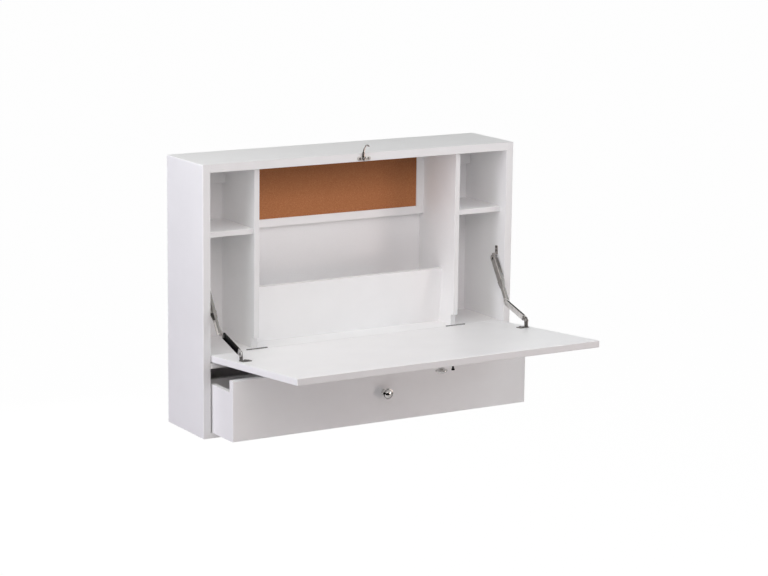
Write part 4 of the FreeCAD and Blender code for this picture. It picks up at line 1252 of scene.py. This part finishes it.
@dataclass
class DarkCard:
    """Black card that only polished metal reflects."""

    name: str
    azimuth: float
    elevation: float
    size: tuple[float, float]
    distance: float = 3.0
    aim: tuple[float, float, float] = (0.0, -0.2, -0.15)
    colour: str = "#0A0A0A"

    def build(self) -> None:
        """Hang the card so that it faces the desk."""
        material = bpy.data.materials.new(self.name)
        empty_tree(material)
        black = add_node(material, "Emission",
                         {"Color": linear(self.colour), "Strength": 1.0})
        add_node(material, "OutputMaterial", links={"Surface": black.outputs[0]})
        away = direction(self.azimuth, self.elevation)
        turn = away.to_track_quat("Z", "Y").to_matrix().to_4x4()
        place = Matrix.Translation(Vector(self.aim) + away * self.distance) @ turn
        card = stage_sheet(self.name, self.size, 1, place, material)
        card.visible_camera = card.visible_diffuse = card.visible_shadow = False
        card.visible_transmission = card.visible_volume_scatter = False


@dataclass
class Studio:
    """Pale floor, white surroundings, soft boxes and the camera."""

    floor_height: float = -1.117
    floor_side: float = 60.0
    floor_white: float = 0.97     # share of the floor that the camera sees as plain white
    floor_glow: float = 1.02
    floor_colour: str = "#F2F2F2"
    sensor_mm: float = 36.0
    far: float = 100.0
    focal_px: float = 2445.18
    width_px: float = 768.0
    azimuth: float = -31.152
    elevation: float = 11.436
    roll: float = 0.682
    place: tuple[float, float, float] = (-2.66965, -4.67485, 0.80550)
    lamps: tuple[SoftBox, ...] = (
        SoftBox("side_wash", (-3.6, -0.2, 0.4), (-0.39, -0.1, -0.2), 2.0, 28.0, "#F7E8FF"),
        SoftBox("side_key", (-1.6, -0.3, 0.7), (-0.39, -0.1, -0.2), 1.2, 12.4, "#F7FDFF"),
        SoftBox("front_key", (-0.4, -1.7, 0.8), (0.0, -0.2, -0.2), 1.4, 10.7, "#FFF4F7"),
        SoftBox("right_fill", (1.4, -1.0, 0.5), (0.0, -0.2, -0.2), 1.2, 10.1, "#F1FBFF"),
        SoftBox("overhead", (-1.2, -0.9, 2.6), (0.0, -0.2, -0.3), 2.0, 22.0, "#FFFEF6"),
        SoftBox("bay_light", (0.1, -0.75, 0.2), (0.0, 0.0, -0.2), 0.5, 0.4, "#FAFAFF"),
        SoftBox("cubby_light", (-0.9, -1.1, 0.25), (0.3, 0.0, -0.2), 0.6, 1.8, "#FFFEF8"),
        SoftBox("low_fill", (1.6, -2.2, -0.6), (0.3, -0.3, -0.4), 0.7, 9.1, "#FFEBE5"),
        SoftBox("back_light", (0.05, 2.4, -0.1), (0.0, 0.0, -0.25), 0.6, 22.0, WHITE),
    )
    cards: tuple[DarkCard, ...] = (
        DarkCard("card_left", -72.0, 14.0, (3.2, 3.4)),
        DarkCard("card_low", -13.0, -21.0, (3.4, 1.4), 1.6),
        DarkCard("card_above", -30.0, 70.0, (2.4, 2.4), 2.0),
    )

    def build(self) -> None:
        """Set up surroundings, floor, lamps, cards and camera."""
        self._surroundings()
        self._floor()
        for item in self.lamps + self.cards:
            item.build()
        self._camera()
        bpy.context.scene.view_settings.view_transform = "Standard"

    def _surroundings(self) -> None:
        """White where it is seen or mirrored, while only the lamps light the desk."""
        world = bpy.data.worlds.new("studio")
        bpy.context.scene.world = world
        empty_tree(world)
        paths = add_node(world, "LightPath")
        seen = add_node(world, "Math", {"operation": "MAXIMUM"},
                        {0: paths.outputs["Is Camera Ray"], 1: paths.outputs["Is Glossy Ray"]})
        any_ray = add_node(world, "Math", {"operation": "MAXIMUM"},
                           {0: seen.outputs[0], 1: paths.outputs["Is Transmission Ray"]})
        white = add_node(world, "Background", {"Color": (1, 1, 1, 1)},
                         {"Strength": any_ray.outputs[0]})
        add_node(world, "OutputWorld", links={"Surface": white.outputs[0]})

    def _floor(self) -> None:
        """Wide pale floor below the desk."""
        material = bpy.data.materials.new("studio_floor")
        empty_tree(material)
        paths = add_node(material, "LightPath")
        matt = add_node(material, "BsdfDiffuse", {"Color": linear(self.floor_colour)})
        white = add_node(material, "Emission", {"Strength": self.floor_glow})
        share = add_node(material, "Math", {"operation": "MULTIPLY", 1: self.floor_white},
                         {0: paths.outputs["Is Camera Ray"]})
        mix = add_node(material, "MixShader", links={
            0: share.outputs[0], 1: matt.outputs[0], 2: white.outputs[0]})
        add_node(material, "OutputMaterial", links={"Surface": mix.outputs[0]})
        stage_sheet("studio_floor", (self.floor_side, self.floor_side), 2,
                    Matrix.Translation((0, 0, self.floor_height)), material)

    def _camera(self) -> None:
        """Camera to the left of the desk and a little above it."""
        back = direction(self.azimuth, self.elevation)
        right = (-back).cross(Vector((0, 0, 1))).normalized()
        up = right.cross(-back).normalized()
        roll = math.radians(self.roll)
        tilted_right = right * math.cos(roll) + up * math.sin(roll)
        tilted_up = up * math.cos(roll) - right * math.sin(roll)
        turn = Matrix((tilted_right, tilted_up, back)).transposed().to_4x4()
        lens = bpy.data.cameras.new("camera")
        lens.sensor_width = self.sensor_mm
        lens.lens = self.focal_px / self.width_px * self.sensor_mm
        lens.clip_end = self.far
        camera = bpy.data.objects.new("camera", lens)
        camera.matrix_world = Matrix.Translation(self.place) @ turn
        bpy.context.scene.collection.objects.link(camera)
        bpy.context.scene.camera = camera


def main() -> None:
    """Build the desk's pieces in order and set up the studio."""
    logging.basicConfig(level=logging.INFO, format="%(name)s: %(message)s")
    finishes = Finishes()
    for part in (Case(finishes), Flap(finishes), Stay(finishes, "left"), Stay(finishes, "right"),
                 StayFittings(finishes), Latch(finishes), Drawer(finishes)):
        part.build()
        part.dress()
    Studio().build()


if __name__ == "__main__":
    main()
